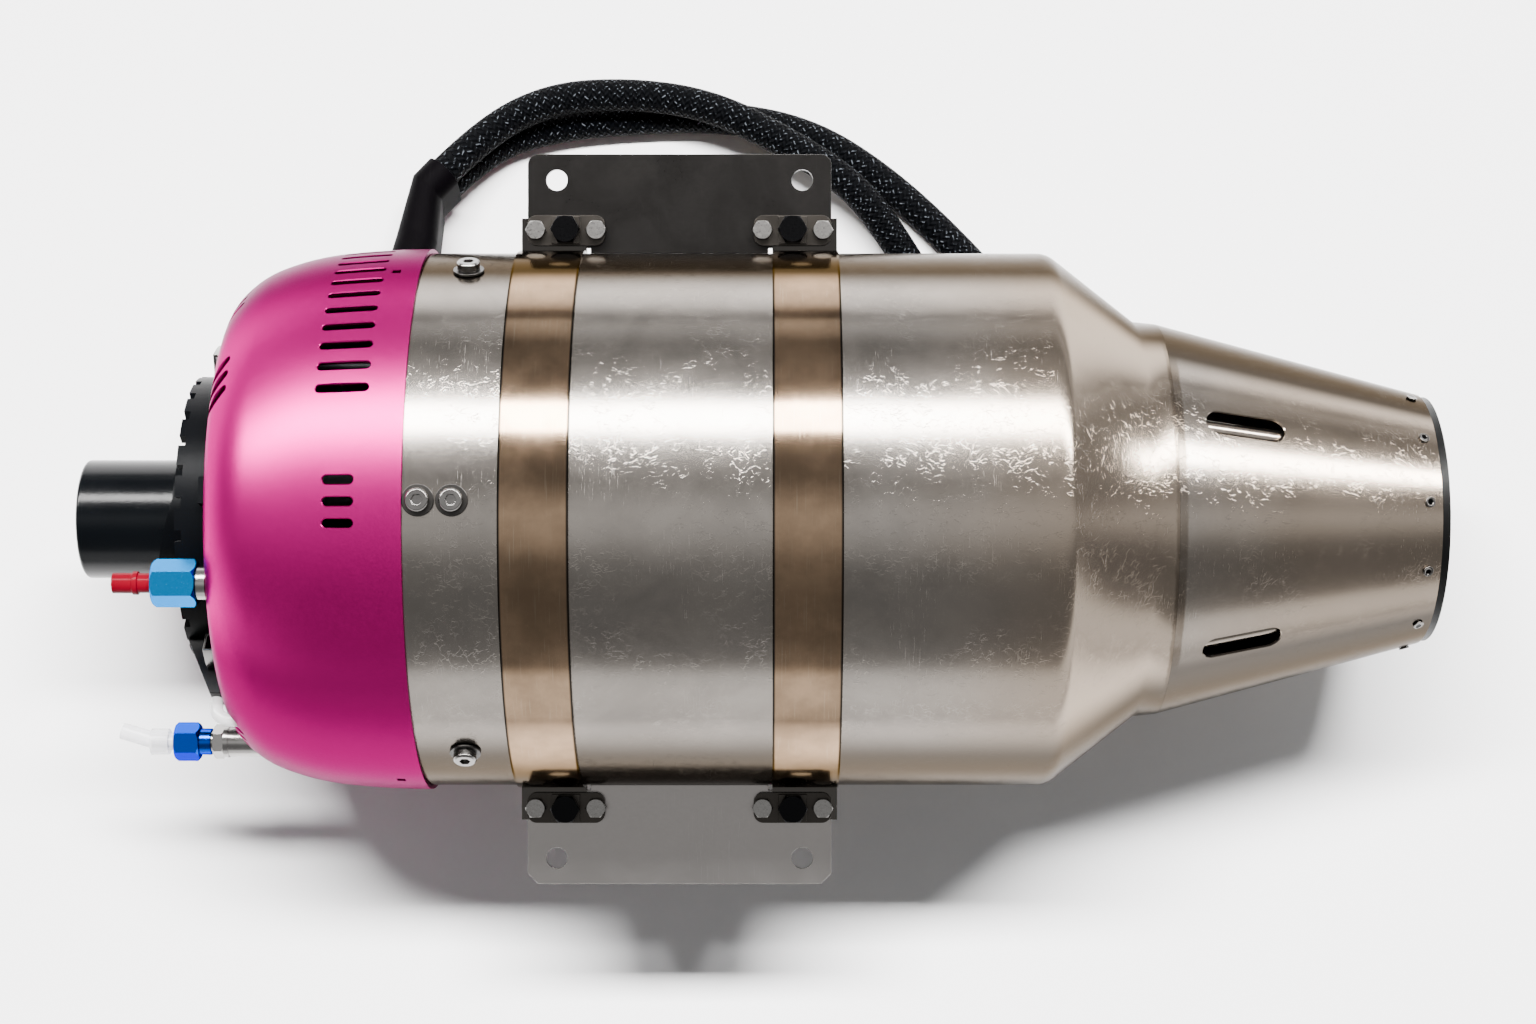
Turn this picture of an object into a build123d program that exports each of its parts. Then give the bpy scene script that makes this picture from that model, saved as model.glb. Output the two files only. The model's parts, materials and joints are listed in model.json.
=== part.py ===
from build123d import *
from math import atan2, cos, degrees, hypot, radians, sin, tan
import os

# Small single-shaft turbojet, in millimetres. X is the thrust axis and grows towards the nozzle,
# Y runs across the two mounting brackets, Z is up. The origin is the centre of the four
# mounting holes, on the thrust axis. Angles round the axis start at +Z and grow towards +Y.

# Clearances
slip = 0.05  # between a piece and the seat that holds it
press = 0.02  # on the shaft
turning = 0.1  # round a part that turns or slides
blade_gap = 0.6  # between blade tips and the wall round them
wheel_gap = 0.6  # between the wheels and the plates beside them

# Outer casing
casing_radius = 82.0
casing_wall = 0.8
casing_front = -80.0
casing_shoulder = 112.4
shoulder_round = 4.0
cone_end = 139.4
cone_end_radius = 61.0
collar_length = 7.0
collar_radius = 60.3

# Casing screws and their washers
screw_station = -61.5
screw_count = 6
screw_phase = 3.8
earth_screw_station = -71.0
screw_shank = 1.95
screw_head_radius = 3.4
screw_head_height = 2.6
screw_socket = 2.9
socket_depth = 1.6
screw_reach = 4.2
washer_radius = 4.6
washer_thickness = 0.8

# Front cover
cover_wall = 1.2
cover_rear = -75.6
cover_front = -135.4
cover_curve = ((26.5, 1.5), (45.1, 6.1), (56.2, 13.8))  # distance from the rear edge, drop
cover_drop = 24.7  # of the flat front below the outside
mouth_gap = 0.5
vent_station = -93.6
vent_width = 2.6
vent_length = 15.5
vent_first = 27.0
vent_pitch = 5.2
vent_count = 13
short_vent_length = 8.8
short_vent_first = -0.7
short_vent_pitch = 4.3
short_vent_count = 3
shoulder_vent_station = -131.0
shoulder_vent_drop = 16.3
shoulder_vent_length = 12.0
shoulder_vent_tilt = 52.0
shoulder_vent_skew = 24.0
shoulder_vent_groups = (34.5, 66.0, -68.0, -86.0)
window_station = -82.6
window_size = 2.4
window_angles = (62.0, -70.0, 182.0)

# Intake bellmouth and compressor shroud
lip_front = -137.0
lip_radius = 50.9
lip_inner = 48.6
lip_thickness = 3.0
shroud_wall = 1.8
flange_thickness = 2.2
post_radius = 2.5
post_angles = (45.0, 95.0, 165.0, 215.0)

# Clips on the mouth of the cover
clip_count = 3
clip_first = 70.0
clip_span = 10.0
clip_sheet = 0.8
clip_bow = 3.2

# Compressor wheel
inducer_station = -103.0
inducer_radius = 33.0
exducer_station = -77.7
exducer_radius = 46.0
hub_radius = 10.0
wheel_back = -73.0
wheel_rim = 1.2
wheel_blades = 7
wheel_wrap = 58.0
blade_sheet = 1.1
blade_sections = 7
blade_root = 0.8
splitter_share = 0.33

# Diffuser
plate_thickness = 3.0
diffuser_passage = 13.1
inner_wall = 2.0
vane_count = 17
vane_start = 48.6
vane_margin = 1.5
vane_swirl = 12.0
vane_wedge = 4.5
axial_vane_sheet = 1.2
axial_vane_slant = 30.0
axial_vane_phase = -28.3
diffuser_rear = -50.0
diffuser_rim = 2.5

# Shaft, tunnel and bearings
journal_radius = 4.0
shaft_radius = 6.5
boss_radius = 6.0
bearing_radius = 11.0
bearing_width = 7.0
bearing_split = 7.0
front_bearing = -62.0
rear_bearing = 51.0
tunnel_radius = 15.0
tunnel_relief = 12.0
tunnel_shoulder = 9.5
tunnel_rear = 78.0
tunnel_flange = 24.0
tunnel_flange_thickness = 3.0
spring_room = 5.0
spring_sheet = 0.8
nut_flats = 12.0
nut_length = 5.0
spinner_length = 13.0
spinner_nose = 5.5
spinner_base = 8.5

# Combustion chamber
liner_passage = 9.2
liner_wall = 0.6
dome_station = -38.0
inner_liner_radius = 31.6
liner_shoulder = 56.0
liner_collar = 4.0
air_hole_radius = 3.0
outer_air_holes = 12
inner_air_holes = 8
vaporiser_count = 12
vaporiser_circle = 57.0
vaporiser_radius = 3.0
vaporiser_wall = 0.6
vaporiser_front = -14.0
vaporiser_rear = 68.0
manifold_station = 75.0
manifold_tube = 1.6
needle_radius = 0.7
needle_reach = 12.0
line_radius = 1.5
line_inset = 4.8
line_bend = 4.0
plug_angle = 150.0
plug_circle = 60.0
plug_radius = 3.0

# Turbine
guide_front = 68.0
guide_rear = 104.0
guide_vane_count = 15
gas_hub = 28.5
gas_tip = 45.0
ring_wall = 1.8
web_thickness = 3.0
turbine_front = 88.0
turbine_rear = 98.0
turbine_blades = 21

# Jet pipe, bulkhead, tail cone and nozzle shell
sheet = 0.8
pipe_collar_front = 100.0
pipe_start = 105.0
shell_rear = 227.5
pipe_overhang = 2.1
pipe_rear = shell_rear + pipe_overhang
pipe_rear_radius = 36.9
bulkhead_front = 91.0
bulkhead_rear = 150.0
tail_front = 101.0
tail_rear = 166.0
tail_tip = 1.2
tail_strut_count = 3
shell_rear_radius = 38.6
slot_count = 5
slot_phase = 30.0
slot_station = 167.6
slot_length = 23.0
slot_width = 6.2
strut_width = 5.6
strut_length = 27.0
strut_clear = 1.4
rim_ring_depth = 8.5
rim_ring_proud = 2.5
rim_ring_front = shell_rear - rim_ring_depth
rim_ring_rear = shell_rear + rim_ring_proud
rivet_count = 12
rivet_phase = 7.4
rivet_inset = 4.1
rivet_station = shell_rear - rivet_inset
rivet_head = 1.6
rivet_shank = 0.9

# Clamp bands, each in two halves
band_centre = 38.75
band_width = 20.0
band_sheet = 0.8
band_round = 1.5
ear_depth = 10.95
fold_hole_length = 6.0
fold_hole_width = 2.6
fold_hole_angle = 83.0

# Mounting brackets
bracket_length = 94.0
bracket_depth = 29.0
bracket_gap = 2.0
bracket_sheet = 2.0
bracket_corner = 3.2
foot_length = 55.0
foot_depth = 9.0
hole_spacing = 76.0
hole_margin = 8.0
hole_radius = 3.3

# Clamp hardware
ear_centre = 35.0
ear_line_gap = 7.2
ear_plate_length = 24.0
ear_plate_height = 9.4
ear_plate_sheet = 1.2
ear_hump = 8.6
ear_hump_height = 1.3
bolt_offset = 9.3
bolt_shank = 1.5
bolt_flats = 5.6
bolt_head_height = 2.4
stud_shank = 2.5
stud_flats = 8.0
stud_head_height = 4.2

# Starter motor
can_radius = 18.3
can_wall = 1.2
can_front = -183.1
can_rear = -142.0
cap_thickness = 4.0
magnet_inner = 13.4
magnet_front = -177.0
magnet_rear = -151.0
magnet_span = 130.0
armature_radius = 12.6
armature_slots = 5
armature_slot_width = 2.4
armature_slot_depth = 6.0
commutator_radius = 5.0
motor_shaft = 1.6
motor_shaft_tip = -119.0
clutch_radius = 8.0
clutch_bore = 6.0
clutch_front = -130.0
clutch_rear = -120.0
clutch_floor = 3.0

# Starter holder with its castellated guard
holder_wall = 1.25
holder_front = -160.0
holder_slant = 10.0
holder_collar = 21.4
hub_front = -150.0
hub_rim = 24.0
guard_front = -147.5
guard_rear = -137.05
guard_radius = 44.0
guard_rim = 4.0
foot_reach = 49.8
foot_sheet = 2.4
foot_width = 8.0
foot_first = 10.0
guard_lugs = 28
guard_spokes = 6
spoke_width = 3.0
spoke_rear = -139.0

# Channel and sleeve of the starter leads
channel_angle = -60.0
channel_width = 8.0
channel_length = 3.4
sleeve_radius = 2.2
sleeve_rise = 7.0

# Fuel fitting
fuel_y = -18.5
fuel_z = 54.0
fuel_flats = 12.2
fuel_nut_front = -151.3
fuel_nut_rear = -138.5
fuel_nut_lip = 2.0
fuel_thread = 3.9
fuel_stub_front = -148.5
fuel_bore = 2.3
fuel_bore_depth = 6.0
fuel_ring_radius = 5.0
fuel_stem = 3.0
fuel_stem_rear = -121.0
fuel_cap_front = -163.1
fuel_cap_neck = 2.9

# Starting gas fitting
gas_y = -70.0
gas_z = -12.0
gas_flats = 10.6
gas_hex_flats = 9.4
gas_barb_front = -166.0
gas_barb = 2.0
gas_nut_front = -158.6
gas_nut_rear = -150.9
gas_collar_rear = -147.3
gas_collar_radius = 4.15
gas_thread = 3.4
gas_hex_front = -146.4
gas_washer_front = -143.2
gas_tube_front = -141.7
gas_tube_rear = -112.0
gas_tube_radius = 4.65
gas_cap_front = -166.3
gas_cap_rear = -160.6
gas_cap_radius = 4.1
gas_cap_stem = 2.7
gas_cap_tip = (-175.6, -66.6)

# Control board
board_station = -112.0
board_sheet = 1.6
board_drop = 12.3
board_depth = 15.0
board_first = 32.0
board_span = 196.0

# Harness: a boot that two sleeved cables leave, laid out on the surface under the engine
cable_diameter = 10.6
cable_offset = 5.45
boot_root = (-94.0, 61.4, -43.0)
boot_middle = (-88.2, 88.5, -57.5)
boot_end = (-80.3, 113.3, -67.5)
boot_root_size = (25.6, 14.4)
boot_middle_size = (25.2, 13.8)
boot_end_size = (24.2, 12.8)
boot_collar = 8.0
boot_recess = 6.0
boot_wall = 0.8
boot_heading = 48.0
boot_pitch = -14.0
boot_twist = 12.0
first_run = 24.0
connector_length = 20.0
connector_width = 13.0

# Values that follow from the ones above
inner_bore = casing_radius - casing_wall
cover_radius = casing_radius + 2 * slip + cover_wall
cover_crown = cover_radius - cover_drop
cover_shape = [(cover_rear - along, cover_radius - drop) for along, drop in cover_curve]
mouth_radius = lip_radius + mouth_gap
shoulder_vent_circle = cover_radius - shoulder_vent_drop
flange_radius = inner_bore - 2 * slip
plate_radius = flange_radius - diffuser_passage
vane_end = plate_radius - vane_margin
liner_radius = inner_bore - liner_passage
line_circle = inner_bore - line_inset
bracket_inner = casing_radius + bracket_gap
bracket_edge = bracket_inner + bracket_depth
hole_reach = bracket_edge - hole_margin
ear_line = casing_radius + ear_line_gap
channel_end = cover_crown + channel_length
sleeve_circle = channel_end + sleeve_rise
board_outer = cover_radius - board_drop
board_inner = board_outer - board_depth
post_circle = (board_inner + board_outer) / 2 - 0.5
nozzle_front = cone_end + collar_length
shroud_rear = exducer_station - blade_gap
shroud_front = inducer_radius + blade_gap
flange_front = shroud_rear - flange_thickness
plate_front = wheel_back + wheel_gap
plate_rear = plate_front + plate_thickness
outer_ring = gas_tip + ring_wall
can_bore = can_radius - can_wall
shell_slope = (collar_radius - shell_rear_radius) / (shell_rear - nozzle_front)
pipe_slope = (outer_ring + slip + sheet - pipe_rear_radius) / (pipe_rear - pipe_start)
surface = -cover_radius
wheel_tip = ((inducer_station, inducer_radius), (exducer_station, exducer_radius))
wheel_hub = ((inducer_station, hub_radius), (wheel_back - wheel_rim, exducer_radius))
cable_rest = surface + cable_diameter / 2
cable_hump = cable_rest + cable_diameter + 1.0
fuel_place = (fuel_y, fuel_z)
gas_place = (gas_y, gas_z)
fuel_angle = degrees(atan2(fuel_y, fuel_z))
gas_angle = degrees(atan2(gas_y, gas_z))


def direction(angle):
    """Unit vector straight out from the thrust axis at an angle from +Z towards +Y."""
    return Vector(0, sin(radians(angle)), cos(radians(angle)))


def seat(station, radius, angle):
    """Plane on a circle round the thrust axis that faces outwards, with its X along the axis."""
    out = direction(angle)
    return Plane(origin=Vector(station, 0, 0) + out * radius, x_dir=(1, 0, 0), z_dir=out)


def axial_plane(angle):
    """Plane through the thrust axis whose X is the axis and whose Y points out at the angle."""
    out = direction(angle)
    return Plane(origin=(0, 0, 0), x_dir=(1, 0, 0), z_dir=Vector(1, 0, 0).cross(out))


def facing_rear(station, place=(0.0, 0.0)):
    """Plane square to the thrust axis that faces the nozzle."""
    return Plane(origin=(station, place[0], place[1]), x_dir=(0, 1, 0), z_dir=(1, 0, 0))


def place_at(radius, angle):
    """The (y, z) of a point beside the thrust axis."""
    out = direction(angle) * radius
    return (out.Y, out.Z)


def turned(outline, rounds=()):
    """Solid of revolution about the thrust axis from (station, radius) corners."""
    face = make_face(Polyline(*outline, close=True))
    for corner, radius in rounds:
        face = fillet(face.vertices().sort_by_distance(Vector(*corner))[0], radius)
    return revolve(face, Axis.X)


def ring(front, rear, inner, outer):
    """Plain ring between two stations and two radii."""
    return turned([(front, inner), (rear, inner), (rear, outer), (front, outer)])


def rod(front, rear, radius, place=(0.0, 0.0)):
    """Cylinder between two stations on the thrust axis or on a line parallel to it."""
    return facing_rear(front, place) * extrude(Circle(radius), rear - front)


def tube(front, rear, outer, inner, place=(0.0, 0.0)):
    """Hollow cylinder between two stations."""
    return facing_rear(front, place) * extrude(Circle(outer) - Circle(inner), rear - front)


def hexagon(front, rear, flats, place, bevel=0.0):
    """Hexagonal bar along X, with its corners turned off at both ends if it has a bevel."""
    outline = RegularPolygon(flats / 2, 6, major_radius=False)
    bar = facing_rear(front, place) * extrude(outline, rear - front)
    if bevel:
        corner = flats / 2 / cos(radians(30))
        round_bar = rod(front, rear, corner, place)
        ends = round_bar.edges().filter_by(GeomType.CIRCLE)
        bar = bar & chamfer(ends, bevel)
    return bar


def hex_head(height, flats, bevel):
    """Hexagonal head or nut on the XY plane, with its upper corners turned off."""
    head = extrude(RegularPolygon(flats / 2, 6, major_radius=False), height)
    disc = extrude(Circle(flats / 2 / cos(radians(30))), height)
    return head & chamfer(disc.edges().group_by(Axis.Z)[-1], bevel)


def bar_along(points, radii, radius):
    """Round bar that follows straight runs joined by tangent arcs, and the length of its route."""
    route = FilletPolyline(*points, radius=radii)
    start = Plane(origin=route @ 0, z_dir=route % 0)
    return sweep(start * Circle(radius), path=route), route.length


def group(pieces):
    """Several separate solids of one node."""
    return Compound(children=[solid for piece in pieces for solid in piece.solids()])


def shell_radius(station):
    """Outside radius of the nozzle shell."""
    return collar_radius - (station - nozzle_front) * shell_slope


def pipe_radius(station):
    """Outside radius of the jet pipe."""
    return pipe_rear_radius + (pipe_rear - station) * pipe_slope


def screw_seats():
    """Planes of the screws round the front of the casing and of the earth screw beside one."""
    pitch = 360 / screw_count
    seats = [seat(screw_station, 0, screw_phase + pitch * k) for k in range(screw_count)]
    return seats + [seat(earth_screw_station, 0, screw_phase)]


def outer_casing():
    step = casing_wall * tan(radians(19))
    outline = [
        (casing_front, casing_radius),
        (casing_shoulder, casing_radius),
        (cone_end, cone_end_radius),
        (nozzle_front, collar_radius),
        (nozzle_front, collar_radius - casing_wall),
        (cone_end - step, cone_end_radius - casing_wall),
        (casing_shoulder - step, inner_bore),
        (casing_front, inner_bore),
    ]
    rounds = [(outline[1], shoulder_round), (outline[6], shoulder_round - casing_wall)]
    casing = turned(outline, rounds)
    hole = extrude(Circle(screw_shank + slip), casing_radius + washer_thickness)
    for place in screw_seats():
        casing -= place * hole
    return casing


def casing_screws():
    """Socket head screws that hold the casing on the rim of the diffuser."""
    head = extrude(Circle(screw_head_radius), screw_head_height)
    head = chamfer(head.edges().group_by(Axis.Z)[-1], 0.5)
    socket = extrude(RegularPolygon(screw_socket / 2, 6, major_radius=False), socket_depth)
    head -= Pos(0, 0, screw_head_height - socket_depth) * socket
    shank = Pos(0, 0, -screw_reach) * extrude(Circle(screw_shank), screw_reach)
    lift = casing_radius + washer_thickness + 2 * slip
    screw = Pos(0, 0, lift) * (head + shank)
    return group([place * screw for place in screw_seats()])


def casing_washers():
    washer = extrude(Circle(washer_radius) - Circle(screw_shank + slip), washer_thickness)
    washer = Pos(0, 0, casing_radius + slip) * washer
    return group([place * washer for place in screw_seats()])


def dome_line(corners, inset):
    """Tangent arcs through (station, radius) corners that start along the axis, moved inwards."""
    heading = 0.0
    headings = [heading]
    for before, after in zip(corners, corners[1:]):
        chord = degrees(atan2(before[1] - after[1], abs(after[0] - before[0])))
        heading = 2 * chord - heading
        headings.append(heading)
    way = 1 if corners[-1][0] > corners[0][0] else -1
    moved = [
        (station - way * inset * sin(radians(angle)), radius - inset * cos(radians(angle)))
        for (station, radius), angle in zip(corners, headings)
    ]
    return [
        TangentArc(start, end, tangent=(way * cos(radians(angle)), -sin(radians(angle))))
        for start, end, angle in zip(moved, moved[1:], headings)
    ]


def cover_section():
    """Cross section of the front cover: a full dome that ends in a flat mouth."""
    corners = [(cover_rear, cover_radius), *cover_shape, (cover_front, cover_crown)]
    outside = dome_line(corners, 0)
    inside = dome_line(corners, cover_wall)
    front = inside[-1] @ 1
    edges = [
        *outside,
        Polyline(outside[-1] @ 1, (cover_front, mouth_radius), (front.X, mouth_radius), front),
        *inside,
        Line(inside[0] @ 0, outside[0] @ 0),
    ]
    return make_face(edges)


def vent_cuts():
    """Cutters of every vent and window in the front cover."""
    depth = 10.0
    sunk = Pos(0, 0, -depth / 2)
    cuts = []
    vent = sunk * extrude(SlotOverall(vent_length, vent_width), depth)
    for k in range(vent_count):
        cuts.append(seat(vent_station, cover_radius, vent_first + vent_pitch * k) * vent)
    vent = sunk * extrude(SlotOverall(short_vent_length, vent_width), depth)
    for k in range(short_vent_count):
        angle = short_vent_first + short_vent_pitch * k
        cuts.append(seat(vent_station, cover_radius, angle) * vent)
    vent = sunk * extrude(SlotOverall(shoulder_vent_length, vent_width), depth)
    vent = Rot(0, -shoulder_vent_tilt, 0) * Rot(0, 0, shoulder_vent_skew) * vent
    for first in shoulder_vent_groups:
        for k in (-1, 0, 1):
            angle = first + short_vent_pitch * k
            cuts.append(seat(shoulder_vent_station, shoulder_vent_circle, angle) * vent)
    window = sunk * extrude(Rectangle(window_size, window_size), depth)
    for angle in window_angles:
        cuts.append(seat(window_station, cover_radius, angle) * window)
    return cuts


def front_cover():
    cover = revolve(cover_section(), Axis.X)
    through = gas_tube_rear - lip_front
    for cut in vent_cuts():
        cover -= cut
    for radius, place in (
        (fuel_stem + 0.3, fuel_place),
        (gas_tube_radius + 0.3, gas_place),
        (sleeve_radius + 0.3, place_at(sleeve_circle, channel_angle)),
    ):
        cover -= rod(lip_front, lip_front + through, radius, place)
    return cover - harness_boot_shape(0.3)


def flow_point(inlet, outlet, share):
    """Point of a quarter ellipse that leads the air from an axial inlet to a radial outlet."""
    turn = radians(90 * share)
    station = inlet[0] + (outlet[0] - inlet[0]) * sin(turn)
    radius = outlet[1] - (outlet[1] - inlet[1]) * cos(turn)
    return (station, radius)


def flow_line(inlet, outlet):
    """Corner points of the flow path at the blade sections."""
    return [flow_point(inlet, outlet, k / (blade_sections - 1)) for k in range(blade_sections)]


def intake_bellmouth():
    """Rolled intake lip, compressor shroud and its flange, with posts for the control board."""
    bell_start = (inducer_station - 7.0, shroud_front)
    shroud = flow_line((inducer_station, shroud_front), (shroud_rear, exducer_radius + blade_gap))
    back = flow_line((inducer_station - 1.0, shroud_front + shroud_wall), (flange_front, exducer_radius))
    bell = TangentArc(bell_start, (lip_front, lip_inner), tangent=(-1, 0))
    back_start = (bell_start[0], shroud_front + shroud_wall)
    back_end = (lip_front + lip_thickness, lip_inner - 0.6)
    bell_back = TangentArc(back_start, back_end, tangent=(-1, 0))
    edges = [
        bell,
        Polyline(
            (lip_front, lip_inner),
            (lip_front, lip_radius),
            (lip_front + lip_thickness, lip_radius),
            bell_back @ 1,
        ),
        bell_back,
        Polyline(
            bell_back @ 0,
            *back,
            (flange_front, flange_radius),
            (shroud_rear, flange_radius),
            *reversed(shroud),
            bell_start,
        ),
    ]
    bellmouth = revolve(make_face(edges), Axis.X)
    for angle in post_angles:
        front = board_station + board_sheet + slip
        bellmouth += rod(front, flange_front + 1, post_radius, place_at(post_circle, angle))
    for angle in (fuel_angle, gas_angle):
        place = place_at(line_circle, angle)
        bellmouth -= rod(flange_front - 1, shroud_rear + 1, line_radius + 0.3, place)
    return bellmouth


def cover_clips():
    """Three spring steel clips that hold the mouth of the cover on the intake lip."""
    front = lip_front - clip_bow
    inner = lip_inner - 0.6
    outer = mouth_radius + 3.4
    behind = cover_front - slip
    outline = [
        (lip_front - slip, inner),
        (front, inner),
        (front, outer),
        (behind, outer),
        (behind, outer - clip_sheet),
        (front + clip_sheet, outer - clip_sheet),
        (front + clip_sheet, inner + clip_sheet),
        (lip_front - slip, inner + clip_sheet),
    ]
    arc = revolve(make_face(Polyline(*outline, close=True)), Axis.X, clip_span)
    first = 90 - clip_span / 2 - clip_first
    pitch = 360 / clip_count
    return group([Rot(first - pitch * k, 0, 0) * arc for k in range(clip_count)])


def wheel_blade(first_share, angle):
    """Backswept blade lofted through flat sections from a share of the flow path to its end."""
    sections = []
    for k in range(blade_sections):
        share = k / (blade_sections - 1)
        if share < first_share:
            continue
        swirl = angle + wheel_wrap * share**1.5
        out = direction(swirl)
        side = Vector(1, 0, 0).cross(out) * (blade_sheet / 2)
        tip_station, tip_radius = flow_point(*wheel_tip, share)
        root_station, root_radius = flow_point(*wheel_hub, share)
        tip = Vector(tip_station, 0, 0) + out * tip_radius
        root = Vector(root_station, 0, 0) + out * root_radius
        root += (root - tip).normalized() * blade_root
        outline = Polyline(root - side, root + side, tip + side, tip - side, close=True)
        sections.append(make_face(outline))
    return loft(sections, ruled=True)


def compressor_wheel():
    """One-piece radial wheel with full blades, splitters between them and a boss on its back."""
    bore = journal_radius + press
    nose = inducer_station - 1.0
    back_boss = front_bearing - press
    outline = [
        (nose, bore),
        (nose, hub_radius),
        *flow_line(*wheel_hub),
        (wheel_back, exducer_radius),
        (wheel_back, boss_radius),
        (back_boss, boss_radius),
        (back_boss, bore),
    ]
    wheel = turned(outline)
    pitch = 360 / wheel_blades
    for k in range(wheel_blades):
        wheel += wheel_blade(0.0, pitch * k)
        wheel += wheel_blade(splitter_share, pitch * (k + 0.5))
    return wheel - rod(nose - 1, back_boss + 1, bore)


def spinner_nut():
    """Nut that holds the compressor wheel, with the smooth nose that the starter grips."""
    rear = inducer_station - 1.0 - press
    front = rear - spinner_length
    floor = front + spinner_length * 0.4
    bore = journal_radius + press
    outline = [
        (front, 0),
        (front, spinner_nose - 1.2),
        (front + 1.2, spinner_nose),
        (floor, spinner_nose),
        (floor + 1.5, spinner_base),
        (rear, spinner_base),
        (rear, bore),
        (floor, bore),
        (floor, 0),
    ]
    return turned(outline)


def rotor_shaft():
    front = inducer_station - 1.0 - spinner_length * 0.6 + 0.2
    rear = turbine_rear + 2.0 + nut_length + 1.5
    shoulder = front_bearing + bearing_width
    outline = [
        (front, 0),
        (front, journal_radius - 0.6),
        (front + 0.6, journal_radius),
        (shoulder, journal_radius),
        (shoulder, shaft_radius),
        (rear_bearing, shaft_radius),
        (rear_bearing, journal_radius),
        (rear - 0.6, journal_radius),
        (rear, journal_radius - 0.6),
        (rear, 0),
    ]
    return turned(outline)


def bearing_rings(inner, outer):
    """The same ring of both bearings."""
    fronts = (front_bearing, rear_bearing)
    return group([ring(front, front + bearing_width, inner, outer) for front in fronts])


def bearing_inner_rings():
    return bearing_rings(journal_radius + press, bearing_split - turning)


def bearing_outer_rings():
    return bearing_rings(bearing_split + turning, bearing_radius)


def diffuser():
    """Wedge vanes on a plate, then slanted vanes in the ring that the casing is screwed to."""
    rim_inner = flange_radius - diffuser_rim
    body = ring(plate_front, plate_rear, boss_radius + blade_gap, plate_radius)
    body += ring(plate_front, diffuser_rear, plate_radius - inner_wall, plate_radius)
    rim = ring(shroud_rear + slip, diffuser_rear, rim_inner, flange_radius)
    wedge_height = plate_front - shroud_rear - slip
    for k in range(vane_count):
        angle = 360 / vane_count * k
        corners = [
            place_at(vane_start, angle),
            place_at(vane_end, angle + vane_swirl),
            place_at(vane_end, angle + vane_swirl + vane_wedge),
        ]
        wedge = facing_rear(shroud_rear + slip) * extrude(
            make_face(Polyline(*corners, close=True)), wedge_height + 0.5
        )
        body += wedge
    middle = (plate_rear + diffuser_rear) / 2
    depth = rim_inner - plate_radius + 1.0
    length = diffuser_rear - plate_rear - 1.0
    vane = Box(length, axial_vane_sheet, depth, align=(Align.CENTER, Align.CENTER, Align.MIN))
    vane = Rot(0, 0, axial_vane_slant) * vane
    for k in range(vane_count):
        body += seat(middle, plate_radius - 0.5, axial_vane_phase + 360 / vane_count * k) * vane
    body += rim
    hole = extrude(Circle(screw_shank + slip), casing_radius)
    for place in screw_seats():
        body -= place * (Pos(0, 0, rim_inner - 1.0) * hole)
    return body


def shaft_tunnel():
    """Tube between the diffuser and the turbine guide vanes that carries both bearings."""
    front = plate_rear + slip
    seat_radius = bearing_radius + press
    front_stop = front_bearing + bearing_width + slip
    rear_stop = rear_bearing - spring_room
    outline = [
        (front, seat_radius),
        (front_stop, seat_radius),
        (front_stop, tunnel_shoulder),
        (front_stop + 4, tunnel_shoulder),
        (front_stop + 4, tunnel_relief),
        (rear_stop - 2, tunnel_relief),
        (rear_stop - 2, tunnel_shoulder),
        (rear_stop, tunnel_shoulder),
        (rear_stop, seat_radius),
        (tunnel_rear, seat_radius),
        (tunnel_rear, tunnel_flange),
        (tunnel_rear - tunnel_flange_thickness, tunnel_flange),
        (tunnel_rear - tunnel_flange_thickness, tunnel_radius),
        (front + tunnel_flange_thickness, tunnel_radius),
        (front + tunnel_flange_thickness, tunnel_flange),
        (front, tunnel_flange),
    ]
    return turned(outline)


def preload_springs():
    """Two coned disc springs, back to back, that load the rear bearing."""
    start = rear_bearing - spring_room + slip
    half = (spring_room - 3 * slip) / 2
    inner = tunnel_shoulder - 1.0
    outer = bearing_radius - 0.2
    first = [
        (start, inner),
        (start + spring_sheet, inner),
        (start + half, outer),
        (start + half - spring_sheet, outer),
    ]
    middle = start + half + slip / 2
    second = [(2 * middle - station, radius) for station, radius in first]
    return group([turned(first), turned(second)])


def outer_liner():
    """Outer wall of the chamber with its front dome and the cone down to the guide vanes."""
    collar = outer_ring + slip
    collar_front = guide_front + 2.0
    inside = liner_radius - liner_wall
    eye = inner_liner_radius + slip
    outline = [
        (dome_station, eye),
        (dome_station, liner_radius),
        (liner_shoulder, liner_radius),
        (collar_front, collar + liner_wall),
        (collar_front + liner_collar, collar + liner_wall),
        (collar_front + liner_collar, collar),
        (collar_front - 0.2, collar),
        (liner_shoulder - 0.4, inside),
        (dome_station + liner_wall, inside),
        (dome_station + liner_wall, eye),
    ]
    liner = turned(outline)
    hole = Pos(0, 0, inside - 2) * extrude(Circle(air_hole_radius), 4)
    pitch = 360 / outer_air_holes
    for k in range(outer_air_holes):
        liner -= seat(10.0, 0, pitch * (k + 0.5)) * hole
    for k in range(vaporiser_count):
        place = place_at(vaporiser_circle, 360 / vaporiser_count * k)
        liner -= rod(liner_shoulder, vaporiser_rear + 1, vaporiser_radius + slip, place)
    for radius, angle in ((line_radius, gas_angle), (plug_radius, plug_angle)):
        place = place_at(plug_circle, angle)
        liner -= rod(dome_station - 1, dome_station + 1, radius + slip, place)
    return liner


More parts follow.
